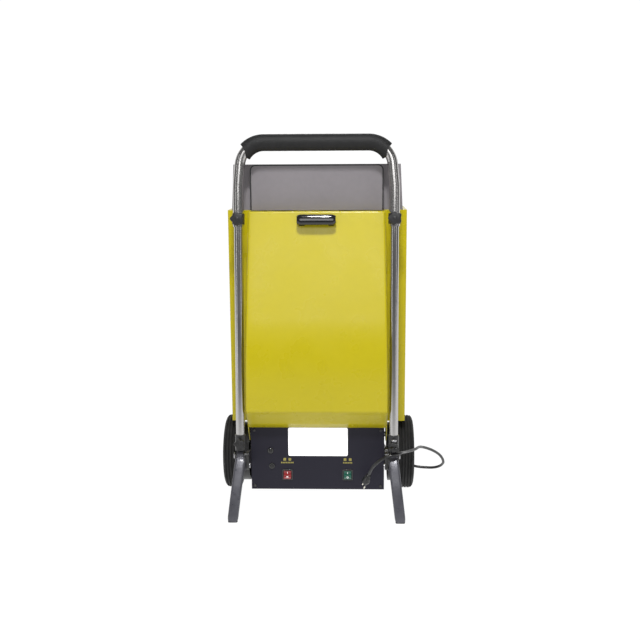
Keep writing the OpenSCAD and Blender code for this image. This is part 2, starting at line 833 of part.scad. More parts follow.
module wheel_bearings() {
    translate([0, axle_y, wheel_r]) for (x = [barrel_x0 + 12, wheel_x1 - 30])
        bushing(bearing_od - 0.02, axle_r + run, x, x + 10);
}
module wheel_bearings_right() {
    color(steel) wheel_bearings();
}
module wheel_bearings_left() {
    color(steel) mirror([1, 0, 0]) wheel_bearings();
}

module front_roller_forks() {
    color(steel) both_sides() {
        block([roller_x + 8.4, roller_y - 9, 8], [roller_x + 10.4, roller_y + 9, 60]);
        block([roller_x - 10.4, roller_y - 9, 8], [roller_x - 8.4, roller_y + 9, 60]);
        block([roller_x - 10.4, roller_y - 9, 58], [base_half_w - wall - 0.1, base_y1 - wall, 60]);
        translate([0, roller_y, roller_r]) rod_x(4, roller_x - 10.6, roller_x + 10.6);
    }
}
module front_roller(side) {
    color(rubber) translate([side * roller_x, roller_y, roller_r]) bushing(roller_r, 4 + run, -8, 8);
}
module front_roller_right() {
    front_roller(1);
}
module front_roller_left() {
    front_roller(-1);
}

// ---------- handle ----------

module handle_sockets() {
    color(black) {
        for (side = [-1, 1]) on_handle() translate([side * tube_x, 0, 0]) difference() {
            union() {
                cylinder(r = socket_r, h = socket_z1);
                for (s = [-1, 1]) translate([s * (eye_half + 0.3 + cheek_t / 2), 0, 0])
                    rod_x(socket_r, -cheek_t / 2 + 0.15, cheek_t / 2 - 0.15);
            }
            cylinder(r = eye_r + 1.5, h = 2 * eye_r + 2, center = true);
            translate([0, 0, socket_z0]) cylinder(r = lower_r, h = 200);
            rod_x(pin_r + run, -40, 40);
        }
        // lug of the right socket, with the upright knob's bolt hole
        on_handle() translate([tube_x, 0, 0]) difference() {
            block([-9, -43, 38], [9, -socket_r + 0.8, 46]);
            translate([0, knob_out, 30]) cylinder(r = 4 + run, h = 30);
        }
        // boss of the left socket, threaded for the other knob
        on_handle() translate([-tube_x, 0, 40]) difference() {
            translate([0, -socket_r + 1.5, 0]) rod_rear(8, 4.5);
            rod_rear(4 + run, 40);
        }
    }
}

module lower_tubes() {
    color(steel) on_handle() both_sides() translate([tube_x, 0, socket_z0 + 0.02]) difference() {
        cylinder(r = lower_r, h = tube_top - socket_z0);
        translate([0, 0, -1]) cylinder(r = lower_r - 1.8, h = tube_top);
    }
}

module ring(outer, inner) {
    difference() {
        circle(outer);
        circle(inner);
    }
}

// A bend of hollow tube in the XZ plane round the origin, between two angles
module bent_pipe(r, outer, inner, from, to) {
    rotate([90, 0, 0]) rotate_extrude(angle = to - from, start = from) translate([r, 0]) ring(outer, inner);
}

// One half of the loop's line: straight over the lower tube, leaning in, then the bend
function loop_half(foot) = [
    for (p = concat(
        [[tube_x, foot]],
        arc([tube_x - knee_r, straight_top], knee_r, 0, lean_in, 2),
        arc([bend_x, grip_h - loop_bend], loop_bend, lean_in, 90, 12)
    )) [p[0], 0, p[1]]
];
function loop_route(foot) = let (half = loop_half(foot), last = len(half) - 1) concat(
    half, [for (i = [last:-1:0]) [-half[i][0], 0, half[i][2]]]
);

module upper_loop() {
    foot = collar_h - 22;
    color(bright) on_handle() difference() {
        swept(loop_route(foot), upper_r, 36, [0, 1, 0]);
        swept(loop_route(foot - 1), upper_r - loop_wall, 36, [0, 1, 0]);
    }
}

module foam_grip() {
    color(rubber) on_handle() {
        both_sides() translate([bend_x, 0, grip_h - loop_bend])
            bent_pipe(loop_bend, grip_r, upper_r + 0.08, 42, 90);
        translate([-bend_x, 0, grip_h]) rotate([0, 90, 0])
            linear_extrude(2 * bend_x) ring(grip_r, upper_r + 0.08);
    }
}

module clamp_collars() {
    color(black) on_handle() both_sides() translate([tube_x, 0, collar_h]) difference() {
        union() {
            translate([0, 0, -16]) cylinder(r = upper_r + 4.5, h = 32);
            translate([0, -upper_r - 1, 0]) rod_rear(8, 6);
        }
        translate([0, 0, -20]) cylinder(r = upper_r, h = 40);
        rod_rear(4 + run, 60);
    }
}

// Five-lobe hand knob with its screw; the screw points to +Z, the face to -Z
module star_knob(r, screw) {
    difference() {
        union() {
            linear_extrude(12) polygon([
                for (i = [0:59]) let (a = i * 6) (r - 2.2 + 2.2 * cos(5 * a)) * [cos(a), sin(a)]
            ]);
            translate([0, 0, 12]) cylinder(r = 7.5, h = 4);
            translate([0, 0, 16]) cylinder(r = 4, h = screw);
        }
        translate([0, 0, -1]) cylinder(r = 4.2, h = 3);
    }
}

module knob_upper(side) {
    color(black) on_handle() translate([side * (tube_x), -upper_r - 23.3, collar_h])
        rotate([-90, 0, 0]) star_knob(20, 7);
}
module knob_upper_left() {
    knob_upper(-1);
}
module knob_upper_right() {
    knob_upper(1);
}
module knob_lower_left() {
    color(black) on_handle() translate([-tube_x, -socket_r - 19.3, 40]) rotate([-90, 0, 0]) star_knob(16.4, 3);
}
module knob_lower_right() {
    color(black) on_handle() translate([tube_x, knob_out, 21.8]) {
        star_knob(16.4, 12);
        translate([0, 0, 27.9]) cylinder(r = 7, h = 5, $fn = 6);
    }
}

// ---------- power cord ----------

module power_cord() {
    color(rubber) swept(smoothed(cord_route), cord_r, cord_sides);
}

// The plug's own frame: origin at the cord's end, Z towards its pins
module on_plug() {
    d = unit(plug_foot - plug_top);
    translate(plug_top) rotate([0, acos(d[2]), atan2(d[1], d[0])]) children();
}

module plug_body() {
    color(black) on_plug() {
        translate([0, 0, 0.6]) cylinder(r1 = 5.2, r2 = 7, h = 8);
        translate([0, 0, 8.6]) cylinder(r1 = 7, r2 = 11.5, h = plug_len - 17);
        translate([0, 0, plug_len - 8.5]) cylinder(r = 11.5, h = 8.4);
    }
}

module plug_pins() {
    color([0.8, 0.72, 0.45]) on_plug() translate([0, 0, plug_len]) for (s = [-1, 1])
        translate([s * 6.3, 0, -0.08]) cylinder(r = 2.2, h = 24);
}

// ---------- the machine ----------

base_housing();
control_panel();
front_shell();
upper_housing();
door_seal();
exhaust_grille();
dust_box();
filter_cartridge();
vacuum_motor();
suction_duct();
brush_motor();
drive_belt();
brush_bearings();
front_bumper();
brush_skirt();
side_bracket_left();
side_bracket_right();
leg_left();
leg_right();
foot_pad_left();
foot_pad_right();
stub_axles();
rating_plate();
rocker_bezels();
reset_collars();
cable_gland();
front_roller_forks();
housing_screws();
leg_pins();
hinge_pins();
plug_body();
plug_pins();
power_cord();
rear_hood();
pull_handle();
tyre_left();
tyre_right();
rim_left();
rim_right();
wheel_bearings_left();
wheel_bearings_right();
front_roller_left();
front_roller_right();
brush_shaft();
brush_bristles();
motor_pulley();
vacuum_fan();
lower_tubes();
handle_sockets();
upper_loop();
foam_grip();
clamp_collars();
knob_upper_left();
knob_upper_right();
knob_lower_left();
knob_lower_right();
rocker_red();
rocker_green();
reset_button_upper();
reset_button_lower();
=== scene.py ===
"""Looks of the upright step cleaner: camera, materials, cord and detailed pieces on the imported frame."""
import json
import math
import random

import bmesh
import bpy
from mathutils import Matrix, Vector
from mathutils.geometry import interpolate_bezier


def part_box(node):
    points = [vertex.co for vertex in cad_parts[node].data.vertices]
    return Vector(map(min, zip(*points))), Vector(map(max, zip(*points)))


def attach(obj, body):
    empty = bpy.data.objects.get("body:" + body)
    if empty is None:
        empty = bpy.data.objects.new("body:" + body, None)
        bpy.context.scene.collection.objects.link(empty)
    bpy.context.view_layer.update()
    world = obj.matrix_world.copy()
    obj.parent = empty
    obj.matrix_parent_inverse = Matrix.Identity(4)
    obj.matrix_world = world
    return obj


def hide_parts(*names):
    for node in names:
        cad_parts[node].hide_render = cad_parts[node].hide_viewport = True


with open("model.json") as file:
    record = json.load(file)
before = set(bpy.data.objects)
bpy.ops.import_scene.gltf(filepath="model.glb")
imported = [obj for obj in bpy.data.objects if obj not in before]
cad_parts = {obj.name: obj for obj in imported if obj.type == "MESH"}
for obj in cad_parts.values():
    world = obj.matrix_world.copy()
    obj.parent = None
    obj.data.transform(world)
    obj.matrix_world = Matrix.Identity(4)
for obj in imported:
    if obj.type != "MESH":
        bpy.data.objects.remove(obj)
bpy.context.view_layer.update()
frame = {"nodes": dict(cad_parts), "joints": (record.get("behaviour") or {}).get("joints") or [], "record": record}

MM = 0.001
NODES = frame["nodes"]
scene = bpy.context.scene


# ---------- camera ----------

CAMERA_PLACE = (0.0883, -2.6525, 1.0239)
CAMERA_TURN = 1.764        # degrees to the left of +Y
CAMERA_TILT = -10.297      # degrees above the horizon
CAMERA_ROLL = -0.315       # degrees about its own axis
SENSOR = 36.0              # millimetres
LENS = 51.1                # millimetres
CAMERA_REACH = 100         # metres


def make_camera():
    data = bpy.data.cameras.new("camera")
    data.sensor_width = SENSOR
    data.lens = LENS
    data.clip_end = CAMERA_REACH
    camera = bpy.data.objects.new("camera", data)
    scene.collection.objects.link(camera)
    turn = Matrix.Rotation(math.radians(CAMERA_TURN), 4, "Z")
    tilt = Matrix.Rotation(math.radians(90 + CAMERA_TILT), 4, "X")
    roll = Matrix.Rotation(math.radians(CAMERA_ROLL), 4, "Z")
    camera.matrix_world = Matrix.Translation(CAMERA_PLACE) @ turn @ tilt @ roll
    scene.camera = camera


make_camera()


# ---------- materials ----------

class Surface:
    """A node material on object coordinates in metres, built up step by step."""

    def __init__(self, name, colour, rough, metal=0.0, coat=0.0, specular=0.5):
        self.material = bpy.data.materials.new(name)
        self.material.use_nodes = True
        self.tree = self.material.node_tree
        self.shader = self.tree.nodes["Principled BSDF"]
        self.coords = self.add("ShaderNodeTexCoord").outputs["Object"]
        self.base = (*colour, 1.0)
        self.set("Base Color", self.base)
        self.set("Roughness", rough)
        self.set("Metallic", metal)
        self.set("Coat Weight", coat)
        self.set("Coat Roughness", 0.12)
        self.set("Specular IOR Level", specular)
        self.normal = None

    def add(self, kind, **settings):
        node = self.tree.nodes.new(kind)
        for key, value in settings.items():
            setattr(node, key, value)
        return node

    def set(self, socket, value):
        self.shader.inputs[socket].default_value = value

    def link(self, a, b):
        self.tree.links.new(a, b)

    def noise(self, scale, detail=3.0, stretch=(1, 1, 1)):
        mapping = self.add("ShaderNodeMapping")
        mapping.inputs["Scale"].default_value = stretch
        self.link(self.coords, mapping.inputs["Vector"])
        node = self.add("ShaderNodeTexNoise")
        node.inputs["Scale"].default_value = scale
        node.inputs["Detail"].default_value = detail
        self.link(mapping.outputs["Vector"], node.inputs["Vector"])
        return node.outputs["Fac"]

    def ramp(self, factor, low, high):
        """A grey that runs from low to high over the middle of factor's range."""
        node = self.add("ShaderNodeValToRGB")
        for element, place, grey in zip(node.color_ramp.elements, (0.3, 0.7), (low, high)):
            element.position = place
            element.color = (grey, grey, grey, 1.0)
        self.link(factor, node.inputs["Fac"])
        return node.outputs["Color"]

    def feed(self, socket, value):
        """value is another socket or a plain value, here and in the two functions below."""
        if hasattr(value, "is_linked"):
            self.link(value, socket)
        else:
            socket.default_value = value

    def mix(self, factor, a, b):
        node = self.add("ShaderNodeMix", data_type="RGBA")
        for place, value in ((0, factor), (6, a), (7, b)):
            self.feed(node.inputs[place], value)
        return node.outputs[2]

    def clamped(self, operation, a, b):
        node = self.add("ShaderNodeMath", operation=operation, use_clamp=True)
        self.feed(node.inputs[0], a)
        self.feed(node.inputs[1], b)
        return node.outputs[0]

    def base_link(self):
        links = self.shader.inputs["Base Color"].links
        return links[0].from_socket if links else self.base

    def mottle(self, scale, amount, detail=3.0, stretch=(1, 1, 1)):
        """Light and dark patches of the base colour."""
        old = self.base_link()
        dark = self.mix(amount, old, (0, 0, 0, 1))
        fac = self.ramp(self.noise(scale, detail, stretch), 0.0, 1.0)
        self.link(self.mix(fac, dark, old), self.shader.inputs["Base Color"])
        return self

    def rough_noise(self, scale, low, high, detail=3.0, stretch=(1, 1, 1)):
        out = self.ramp(self.noise(scale, detail, stretch), low, high)
        self.link(out, self.shader.inputs["Roughness"])
        return self

    def edges(self, radius, wear=0.0, wear_colour=(0.5, 0.5, 0.5)):
        """Rounds sharp edges in the shading, and lightens them where paint or plastic has rubbed."""
        bevel = self.add("ShaderNodeBevel", samples=4)
        bevel.inputs["Radius"].default_value = radius
        self.normal = bevel.outputs["Normal"]
        if wear:
            geometry = self.add("ShaderNodeNewGeometry")
            dot = self.add("ShaderNodeVectorMath", operation="DOT_PRODUCT")
            self.link(geometry.outputs["Normal"], dot.inputs[0])
            self.link(bevel.outputs["Normal"], dot.inputs[1])
            away = self.clamped("SUBTRACT", 1.0, dot.outputs["Value"])
            patch = self.clamped("MULTIPLY", away, self.noise(90, 4))
            strong = self.clamped("MULTIPLY", patch, 6 * wear)
            out = self.mix(strong, self.base_link(), (*wear_colour, 1.0))
            self.link(out, self.shader.inputs["Base Color"])
        return self

    def bump(self, factor, strength, depth):
        node = self.add("ShaderNodeBump")
        node.inputs["Strength"].default_value = strength
        node.inputs["Distance"].default_value = depth
        self.link(factor, node.inputs["Height"])
        if self.normal is not None:
            self.link(self.normal, node.inputs["Normal"])
        self.normal = node.outputs["Normal"]
        return self

    def grain(self, scale, depth, detail=2.0, stretch=(1, 1, 1), strength=1.0):
        return self.bump(self.noise(scale, detail, stretch), strength, depth)

    def done(self):
        if self.normal is not None:
            self.link(self.normal, self.shader.inputs["Normal"])
        return self.material


def yellow_paint():
    s = Surface("yellow_paint_look", (0.53, 0.445, 0.003), 0.26, coat=0.10, specular=0.40)
    s.mottle(3.5, 0.05).mottle(60, 0.03)
    s.edges(0.0022, 0.10, (0.85, 0.75, 0.25))
    return s.rough_noise(14, 0.24, 0.34).grain(420, 0.00006).grain(6, 0.0006, strength=0.35).done()


def grey_paint():
    s = Surface("grey_paint_look", (0.238, 0.222, 0.234), 0.45, coat=0.05, specular=0.25)
    s.mottle(4, 0.08).mottle(70, 0.04)
    s.edges(0.0030, 0.05, (0.4, 0.4, 0.4))
    return s.rough_noise(18, 0.36, 0.5).grain(700, 0.00009).grain(7, 0.0005, strength=0.3).done()


def black_housing():
    s = Surface("black_housing_look", (0.030, 0.031, 0.036), 0.38, coat=0.2)
    s.mottle(6, 0.2).edges(0.0025, 0.12, (0.16, 0.16, 0.17))
    return s.rough_noise(25, 0.30, 0.46).grain(600, 0.00008).done()


def panel_plastic():
    s = Surface("panel_look", (0.018, 0.017, 0.028), 0.50, specular=0.22)
    s.mottle(7, 0.12).edges(0.0018, 0.10, (0.15, 0.15, 0.18))
    return s.rough_noise(30, 0.42, 0.54).grain(800, 0.00007).done()


def rubber(name, shade=0.017, scale=240):
    s = Surface(name, (shade, shade, shade), 0.72, specular=0.3)
    s.mottle(22, 0.35).edges(0.0012, 0.15, (0.09, 0.09, 0.088))
    return s.rough_noise(40, 0.6, 0.82).grain(scale, 0.00018, 4).done()


def foam():
    s = Surface("foam_look", (0.011, 0.011, 0.0115), 0.60, specular=0.35)
    s.mottle(35, 0.3)
    cells = s.add("ShaderNodeTexVoronoi")
    cells.inputs["Scale"].default_value = 900
    s.link(s.coords, cells.inputs["Vector"])
    return s.bump(cells.outputs["Distance"], 0.6, 0.0004).grain(120, 0.0004, 3).done()


def moulded(name, shade, rough=0.45):
    s = Surface(name, (shade, shade, shade * 1.05), rough)
    s.mottle(12, 0.15).edges(0.0010, 0.08, (0.12, 0.12, 0.12))
    return s.rough_noise(45, rough - 0.08, rough + 0.1).grain(520, 0.00010, 3).done()


def gloss_black():
    s = Surface("gloss_black_look", (0.006, 0.006, 0.007), 0.10, coat=0.6)
    s.edges(0.0012)
    return s.rough_noise(60, 0.06, 0.16).grain(40, 0.00005).done()


def chrome():
    s = Surface("chrome_look", (0.52, 0.51, 0.50), 0.10, metal=1.0)
    s.mottle(9, 0.10, 2, (1, 1, 0.1)).mottle(140, 0.05)
    return s.rough_noise(30, 0.11, 0.22, 4, (1, 1, 0.15)).grain(900, 0.00001, 2, (1, 1, 0.05)).done()


def zinc(name="zinc_look", colour=(0.56, 0.56, 0.58), rough=0.3):
    s = Surface(name, colour, rough, metal=1.0)
    s.mottle(55, 0.18).edges(0.0006)
    return s.rough_noise(80, rough - 0.08, rough + 0.14).grain(500, 0.00003).done()


def cast(name, shade, rough, metal=0.0, blue=1.02):
    s = Surface(name, (shade, shade, shade * blue), rough, metal=metal, coat=0.15)
    s.mottle(26, 0.25).edges(0.0018, 0.25, (0.20, 0.20, 0.20))
    return s.rough_noise(50, rough - 0.1, rough + 0.12).grain(170, 0.00035, 4).done()


def motor_metal():
    s = Surface("motor_look", (0.30, 0.31, 0.33), 0.45, metal=0.7)
    s.mottle(30, 0.2).edges(0.0015, 0.2, (0.6, 0.6, 0.6))
    return s.grain(260, 0.0002, 4).done()


def paper():
    s = Surface("paper_look", (0.68, 0.66, 0.57), 0.9, specular=0.2)
    s.mottle(30, 0.15)
    return s.grain(300, 0.0003, 5).done()


def white_plate():
    s = Surface("white_plate_look", (0.88, 0.88, 0.88), 0.4)
    # painted light: the emission makes the plate glow so that it reads pure white however it is lit
    s.set("Emission Color", (1, 1, 1, 1))
    s.set("Emission Strength", 0.50)
    s.mottle(9, 0.015).edges(0.0008)
    return s.rough_noise(40, 0.34, 0.46).grain(300, 0.00002).done()


def rocker_with_painted_glow(name, colour, glow):
    s = Surface(name, colour, 0.16, coat=0.5)
    # painted light: a faint glow in the key's own colour that brightens it
    s.set("Emission Color", (*colour, 1))
    s.set("Emission Strength", glow)
    s.mottle(160, 0.25).edges(0.0008)
    return s.rough_noise(90, 0.12, 0.22).grain(300, 0.00003).done()


def cord_pvc():
    s = Surface("cord_look", (0.012, 0.012, 0.013), 0.34, coat=0.1)
    s.mottle(60, 0.3)
    return s.rough_noise(90, 0.28, 0.44).grain(500, 0.00008, 3).done()


def bristle():
    s = Surface("bristle_look", (0.022, 0.028, 0.060), 0.5)
    s.mottle(300, 0.5)
    return s.grain(900, 0.0002, 2, (0.1, 1, 1)).done()


def mark_paint():
    s = Surface("mark_paint_look", (0.36, 0.31, 0.07), 0.5)
    s.mottle(400, 0.2)
    return s.grain(500, 0.00002).done()


def floor_paint():
    """A lit white sweep round the object, dimmer on the floor in front of it."""
    s = Surface("floor_look", (0.06, 0.06, 0.06), 0.9, specular=0.0)
    s.set("Emission Color", (1, 1, 1, 1))
    apart = s.add("ShaderNodeSeparateXYZ")
    s.link(s.coords, apart.inputs[0])
    level = s.add("ShaderNodeMapRange")
    level.inputs["From Min"].default_value = -4.5
    level.inputs["From Max"].default_value = -1.0
    level.inputs["To Min"].default_value = 0.35
    level.inputs["To Max"].default_value = 1.0
    s.link(apart.outputs["Y"], level.inputs["Value"])
    s.link(level.outputs["Result"], s.shader.inputs["Emission Strength"])
    s.mottle(1.5, 0.01)
    return s.grain(40, 0.0001).done()


LOOKS = {
    "black_housing": black_housing(),
    "panel_plastic": panel_plastic(),
    "yellow_paint": yellow_paint(),
    "grey_paint": grey_paint(),
    "seal_rubber": rubber("seal_rubber_look"),
    "black_plastic": moulded("black_plastic_look", 0.016),
    "black_gloss": gloss_black(),
    "box_plastic": moulded("box_plastic_look", 0.055, 0.5),
    "filter_paper": paper(),
    "motor_metal": motor_metal(),
    "plain_steel": zinc(),
    "cast_bracket": cast("cast_bracket_look", 0.022, 0.36),
    "leg_metal": cast("leg_look", 0.095, 0.36, 0.3, 1.18),
    "white_plate": white_plate(),
    "cord_pvc": cord_pvc(),
    "pin_brass": zinc("pin_look", (0.80, 0.77, 0.66), 0.2),
    "tyre_rubber": rubber("tyre_look", 0.016, 150),
    "rim_plastic": moulded("rim_look", 0.018, 0.4),
    "roller_rubber": rubber("roller_look", 0.045),
    "bristle": bristle(),
    "fan_metal": zinc("fan_look", (0.65, 0.65, 0.67), 0.3),
    "chrome_tube": chrome(),
    "foam": foam(),
    "red_switch": rocker_with_painted_glow("red_switch_look", (0.26, 0.012, 0.013), 0.08),
    "green_switch": rocker_with_painted_glow("green_switch_look", (0.002, 0.085, 0.055), 0.08),
}
MARK = mark_paint()

SLOT_OF = {p["node"]: p["material_slot"] for p in frame["record"]["subparts"]}
BODY_OF = {n: b for b, ns in frame["record"]["behaviour"]["bodies"].items() for n in ns}


def paint_cad_nodes():
    for name, obj in NODES.items():
        look = LOOKS[SLOT_OF[name]]
        if not obj.material_slots:
            obj.data.materials.append(look)
        for material_slot in obj.material_slots:
            material_slot.material = look


paint_cad_nodes()


# ---------- helpers for pieces ----------

def new_piece(name, bm, look, smooth_angle):
    """A mesh object from bm, welded, with outward faces and smooth shading up to an angle in degrees."""
    bmesh.ops.remove_doubles(bm, verts=bm.verts, dist=1e-6)
    bmesh.ops.recalc_face_normals(bm, faces=bm.faces)
    mesh = bpy.data.meshes.new(name)
    bm.to_mesh(mesh)
    bm.free()
    mesh.materials.append(look)
    obj = bpy.data.objects.new(name, mesh)
    scene.collection.objects.link(obj)
    for polygon in mesh.polygons:
        polygon.use_smooth = True
    mesh.set_sharp_from_angle(angle=math.radians(smooth_angle))
    return obj


def belongs(obj, node):
    """obj rides with that CAD node's body and stands for it; the node is hidden."""
    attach(obj, BODY_OF[node])
    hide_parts(node)
    return obj


def bevel(obj, width):
    """Applies a bevel so that the piece's own edges are round."""
    modifier = obj.modifiers.new("bevel", "BEVEL")
    modifier.width = width
    modifier.segments = 2
    modifier.limit_method = "ANGLE"
    modifier.angle_limit = math.radians(40)
    apply_modifiers(obj)


def apply_modifiers(obj):
    depsgraph = bpy.context.evaluated_depsgraph_get()
    mesh = bpy.data.meshes.new_from_object(obj.evaluated_get(depsgraph))
    obj.modifiers.clear()
    obj.data = mesh


def grid_faces(bm, rings, closed_ring=True, caps=True):
    """Faces between successive rings of vertices."""
    rows = [[bm.verts.new(p) for p in ring] for ring in rings]
    count = len(rows[0])
    for a, b in zip(rows, rows[1:]):
        for k in range(count if closed_ring else count - 1):
            j = (k + 1) % count
            bm.faces.new((a[k], a[j], b[j], b[k]))
    if caps:
        bm.faces.new(rows[0][::-1])
        bm.faces.new(rows[-1])
    return rows


def circle(radius, steps):
    """Outline of a circle, as (x, y) points."""
    angles = [2 * math.pi * k / steps for k in range(steps)]
    return [(radius * math.cos(a), radius * math.sin(a)) for a in angles]


def super_ellipse(half_x, half_y, power, steps):
    """An oval that a power below 1 makes squarer."""
    points = []
    for c, s in circle(1, steps):
        x = half_x * math.copysign(abs(c) ** power, c)
        y = half_y * math.copysign(abs(s) ** power, s)
        points.append((x, y))
    return points


def bezier(a, b, c, t):
    return (1 - t) ** 2 * a + 2 * t * (1 - t) * b + t * t * c


def lifted(outline, z, base):
    """The outline's points at height z in the frame of base."""
    return [base @ Vector((x, y, z)) for x, y in outline]


def lathe(bm, profile, base, steps, caps=True):
    """Turns (radius, height) points about the Z axis of base."""
    rings = [lifted(circle(radius, steps), height, base) for radius, height in profile]
    grid_faces(bm, rings, caps=caps)


def slab(bm, outline, z0, z1, base):
    """A flat plate from a closed outline in the XY plane of base."""
    grid_faces(bm, [lifted(outline, z, base) for z in (z0, z1)])


def round_rect(width, height, radius, steps=6):
    """Outline of a rectangle with round corners, each corner in that many steps."""
    points = []
    corners = ((1, 1, 0), (-1, 1, 90), (-1, -1, 180), (1, -1, 270))
    for sx, sy, start in corners:
        for i in range(steps + 1):
            a = math.radians(start + 90 * i / steps)
            points.append((sx * (width / 2 - radius) + radius * math.cos(a),
                           sy * (height / 2 - radius) + radius * math.sin(a)))
    return points


def facing(origin, direction, up=(0, 0, 1)):
    """A frame at origin whose Z axis points along direction."""
    z = Vector(direction).normalized()
    x = Vector(up).cross(z)
    if x.length < 1e-6:
        x = Vector((1, 0, 0)).cross(z)
    x.normalize()
    y = z.cross(x)
    rotation = Matrix((x, y, z)).transposed().to_4x4()
    return Matrix.Translation(Vector(origin)) @ rotation


def extent(node):
    """The low and high corners of a node's box, and its middle."""
    low, high = (Vector(v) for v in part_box(node))
    return low, high, (low + high) / 2


def joint(name):
    return next(j for j in frame["joints"] if j["name"] == name)


SIDES = ((-1, "left"), (1, "right"))
REAR = Vector((0, -1, 0))
ALONG = Vector(joint("handle_height")["axis"])      # along the handle's tubes
HANDLE_REAR = Vector((0, -ALONG.z, ALONG.y))        # square to them, towards the operator


# ---------- power cord ----------

CORD_RADIUS = 0.00425
CORD_ROUTE = [               # in millimetres, from the gland to the plug
    (222, 190, 84), (238, 191, 80), (252, 193, 66), (268, 196, 46), (288, 199, 28), (309, 200, 19),
    (328, 198, 16.5), (347, 196, 16), (363, 192, 17), (377, 186, 21), (388, 178, 28), (394, 166, 38),
    (396, 152, 49), (393, 138, 63), (387, 125, 76), (379, 113, 88), (369, 100, 99), (356, 84, 111),
    (342, 67, 122), (328, 49, 132), (316, 31, 140), (307, 9, 147), (300, -12, 151.5),
    (292.5, -34, 155), (280, -58, 159), (266, -84, 164), (254, -112, 171), (248, -138, 179),
    (241, -158, 184), (230, -170, 184.5), (217, -176, 183.5), (203, -178, 179.5), (187, -177, 171.5),
    (173, -174, 160), (161.5, -167.5, 145.5), (154.3, -159, 130), (150, -150, 115.6),
]
PLUG_TOP = Vector((0.150, -0.150, 0.1156))
PLUG_FOOT = Vector((0.1405, -0.129, 0.086))
PIN_SPREAD = Vector((0.325, -0.719, -0.614))        # direction from one pin to the other
PIN_OFFSET = 0.0063          # from the plug's axis to a pin's


def route_length(points):
    return sum((Vector(b) - Vector(a)).length for a, b in zip(points, points[1:]))


def make_cord(plug, sleeves):
    """The lead as one smooth spline through its route."""
    points = [Vector(p) * MM for p in CORD_ROUTE]
    data = bpy.data.curves.new("mains_lead", "CURVE")
    data.dimensions = "3D"
    data.bevel_depth = CORD_RADIUS
    data.bevel_resolution = 6
    data.resolution_u = 8
    data.use_fill_caps = True
    spline = data.splines.new("BEZIER")
    spline.bezier_points.add(len(points) - 1)
    last = len(points) - 1
    for i, (knot, p) in enumerate(zip(spline.bezier_points, points)):
        before = points[max(i - 1, 0)]
        after = points[min(i + 1, last)]
        tangent = (after - before).normalized()
        knot.co = p
        knot.handle_left_type = knot.handle_right_type = "FREE"
        knot.handle_left = p - tangent * (p - before).length / 3
        knot.handle_right = p + tangent * (after - p).length / 3
    data.materials.append(LOOKS["cord_pvc"])
    lead = bpy.data.objects.new("mains_lead", data)
    scene.collection.objects.link(lead)
    belongs(lead, "power_cord")
    length = 0
    for a, b in zip(spline.bezier_points, spline.bezier_points[1:]):
        length += route_length(interpolate_bezier(a.co, a.handle_right, b.handle_left, b.co, 12))


def make_plug():
    """Moulded plug: ribbed strain relief, waisted grip and a face that holds the pins."""
    direction = PLUG_FOOT - PLUG_TOP
    length = direction.length
    base = facing(PLUG_TOP, direction, PIN_SPREAD)
    bm = bmesh.new()
    relief = [(0.0046, 0.0001)]
    for i in range(4):
        z = 0.0005 + i * 0.0024
        crest = 0.0054 + 0.0004 * i
        groove = crest - 0.0009
        relief += [(crest, z), (crest, z + 0.0014), (groove, z + 0.0017), (groove, z + 0.0023)]
    relief.append((0.0066, 0.0104))
    lathe(bm, relief, base, 32)
    stations = [                 # (distance from the cord's end, half width, half depth)
        (0.0098, 0.0062, 0.0058), (0.0112, 0.0076, 0.0068), (0.0150, 0.0084, 0.0070),
        (0.0195, 0.0086, 0.0072), (0.0240, 0.0096, 0.0086), (length - 0.0098, 0.0108, 0.0102),
        (length - 0.0082, 0.0113, 0.0110), (length - 0.0012, 0.0113, 0.0110),
        (length - 0.0002, 0.0104, 0.0102),
    ]
    rings = []
    for z, half_x, half_y in stations:
        rings.append(lifted(super_ellipse(half_x, half_y, 0.85, 48), z, base))
    grid_faces(bm, rings)
    for side in (-1, 1):
        for i in range(4):
            ridge = base @ Matrix.Translation((0, side * 0.0070, 0.0140 + i * 0.0026))
            slab(bm, round_rect(0.011, 0.0018, 0.0008, 3), -0.0006, 0.0006, ridge)
    plug = new_piece("moulded_plug", bm, LOOKS["cord_pvc"], 40)
    return belongs(plug, "plug_body")


def make_pin_sleeves():
    """The black sleeves on the first half of the plug's two pins."""
    direction = (PLUG_FOOT - PLUG_TOP).normalized()
    bm = bmesh.new()
    for side in (-1, 1):
        base = facing(PLUG_FOOT + PIN_SPREAD * side * PIN_OFFSET, direction)
        lathe(bm, [(0.00235, 0.0001), (0.00235, 0.0126), (0.0023, 0.0130)], base, 24)
    sleeves = new_piece("pin_sleeves", bm, LOOKS["cord_pvc"], 40)
    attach(sleeves, BODY_OF["plug_body"])
    return sleeves


make_cord(make_plug(), make_pin_sleeves())


# ---------- rear hood and its pull handle ----------

HOOD_LOW, HOOD_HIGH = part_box("rear_hood")
HOOD_TOP_Z = HOOD_HIGH[2]
HOOD_FRONT_Y = HOOD_HIGH[1]
HOOD_BULGE_Y = HOOD_LOW[1]            # the flat of the rear face
HOOD_HALF_LOW = HOOD_HIGH[0]          # half width below the fold
HOOD_HALF_TOP = 0.196                 # half width at the top edge
HOOD_FOOT = (-0.096, 0.2395)          # (y, z) of the bottom edge
HOOD_FOLD_Z = 0.302
HOOD_CURVE = ((0.370, 0.0), (0.470, 0.0), (0.580, 0.028))    # (z, distance ahead of the flat)
HOOD_TOP_Y = -0.052
HOOD_CORNER = 0.006
HOOD_EDGE = 0.003                     # radius of the top edge
HOOD_T = 0.0025


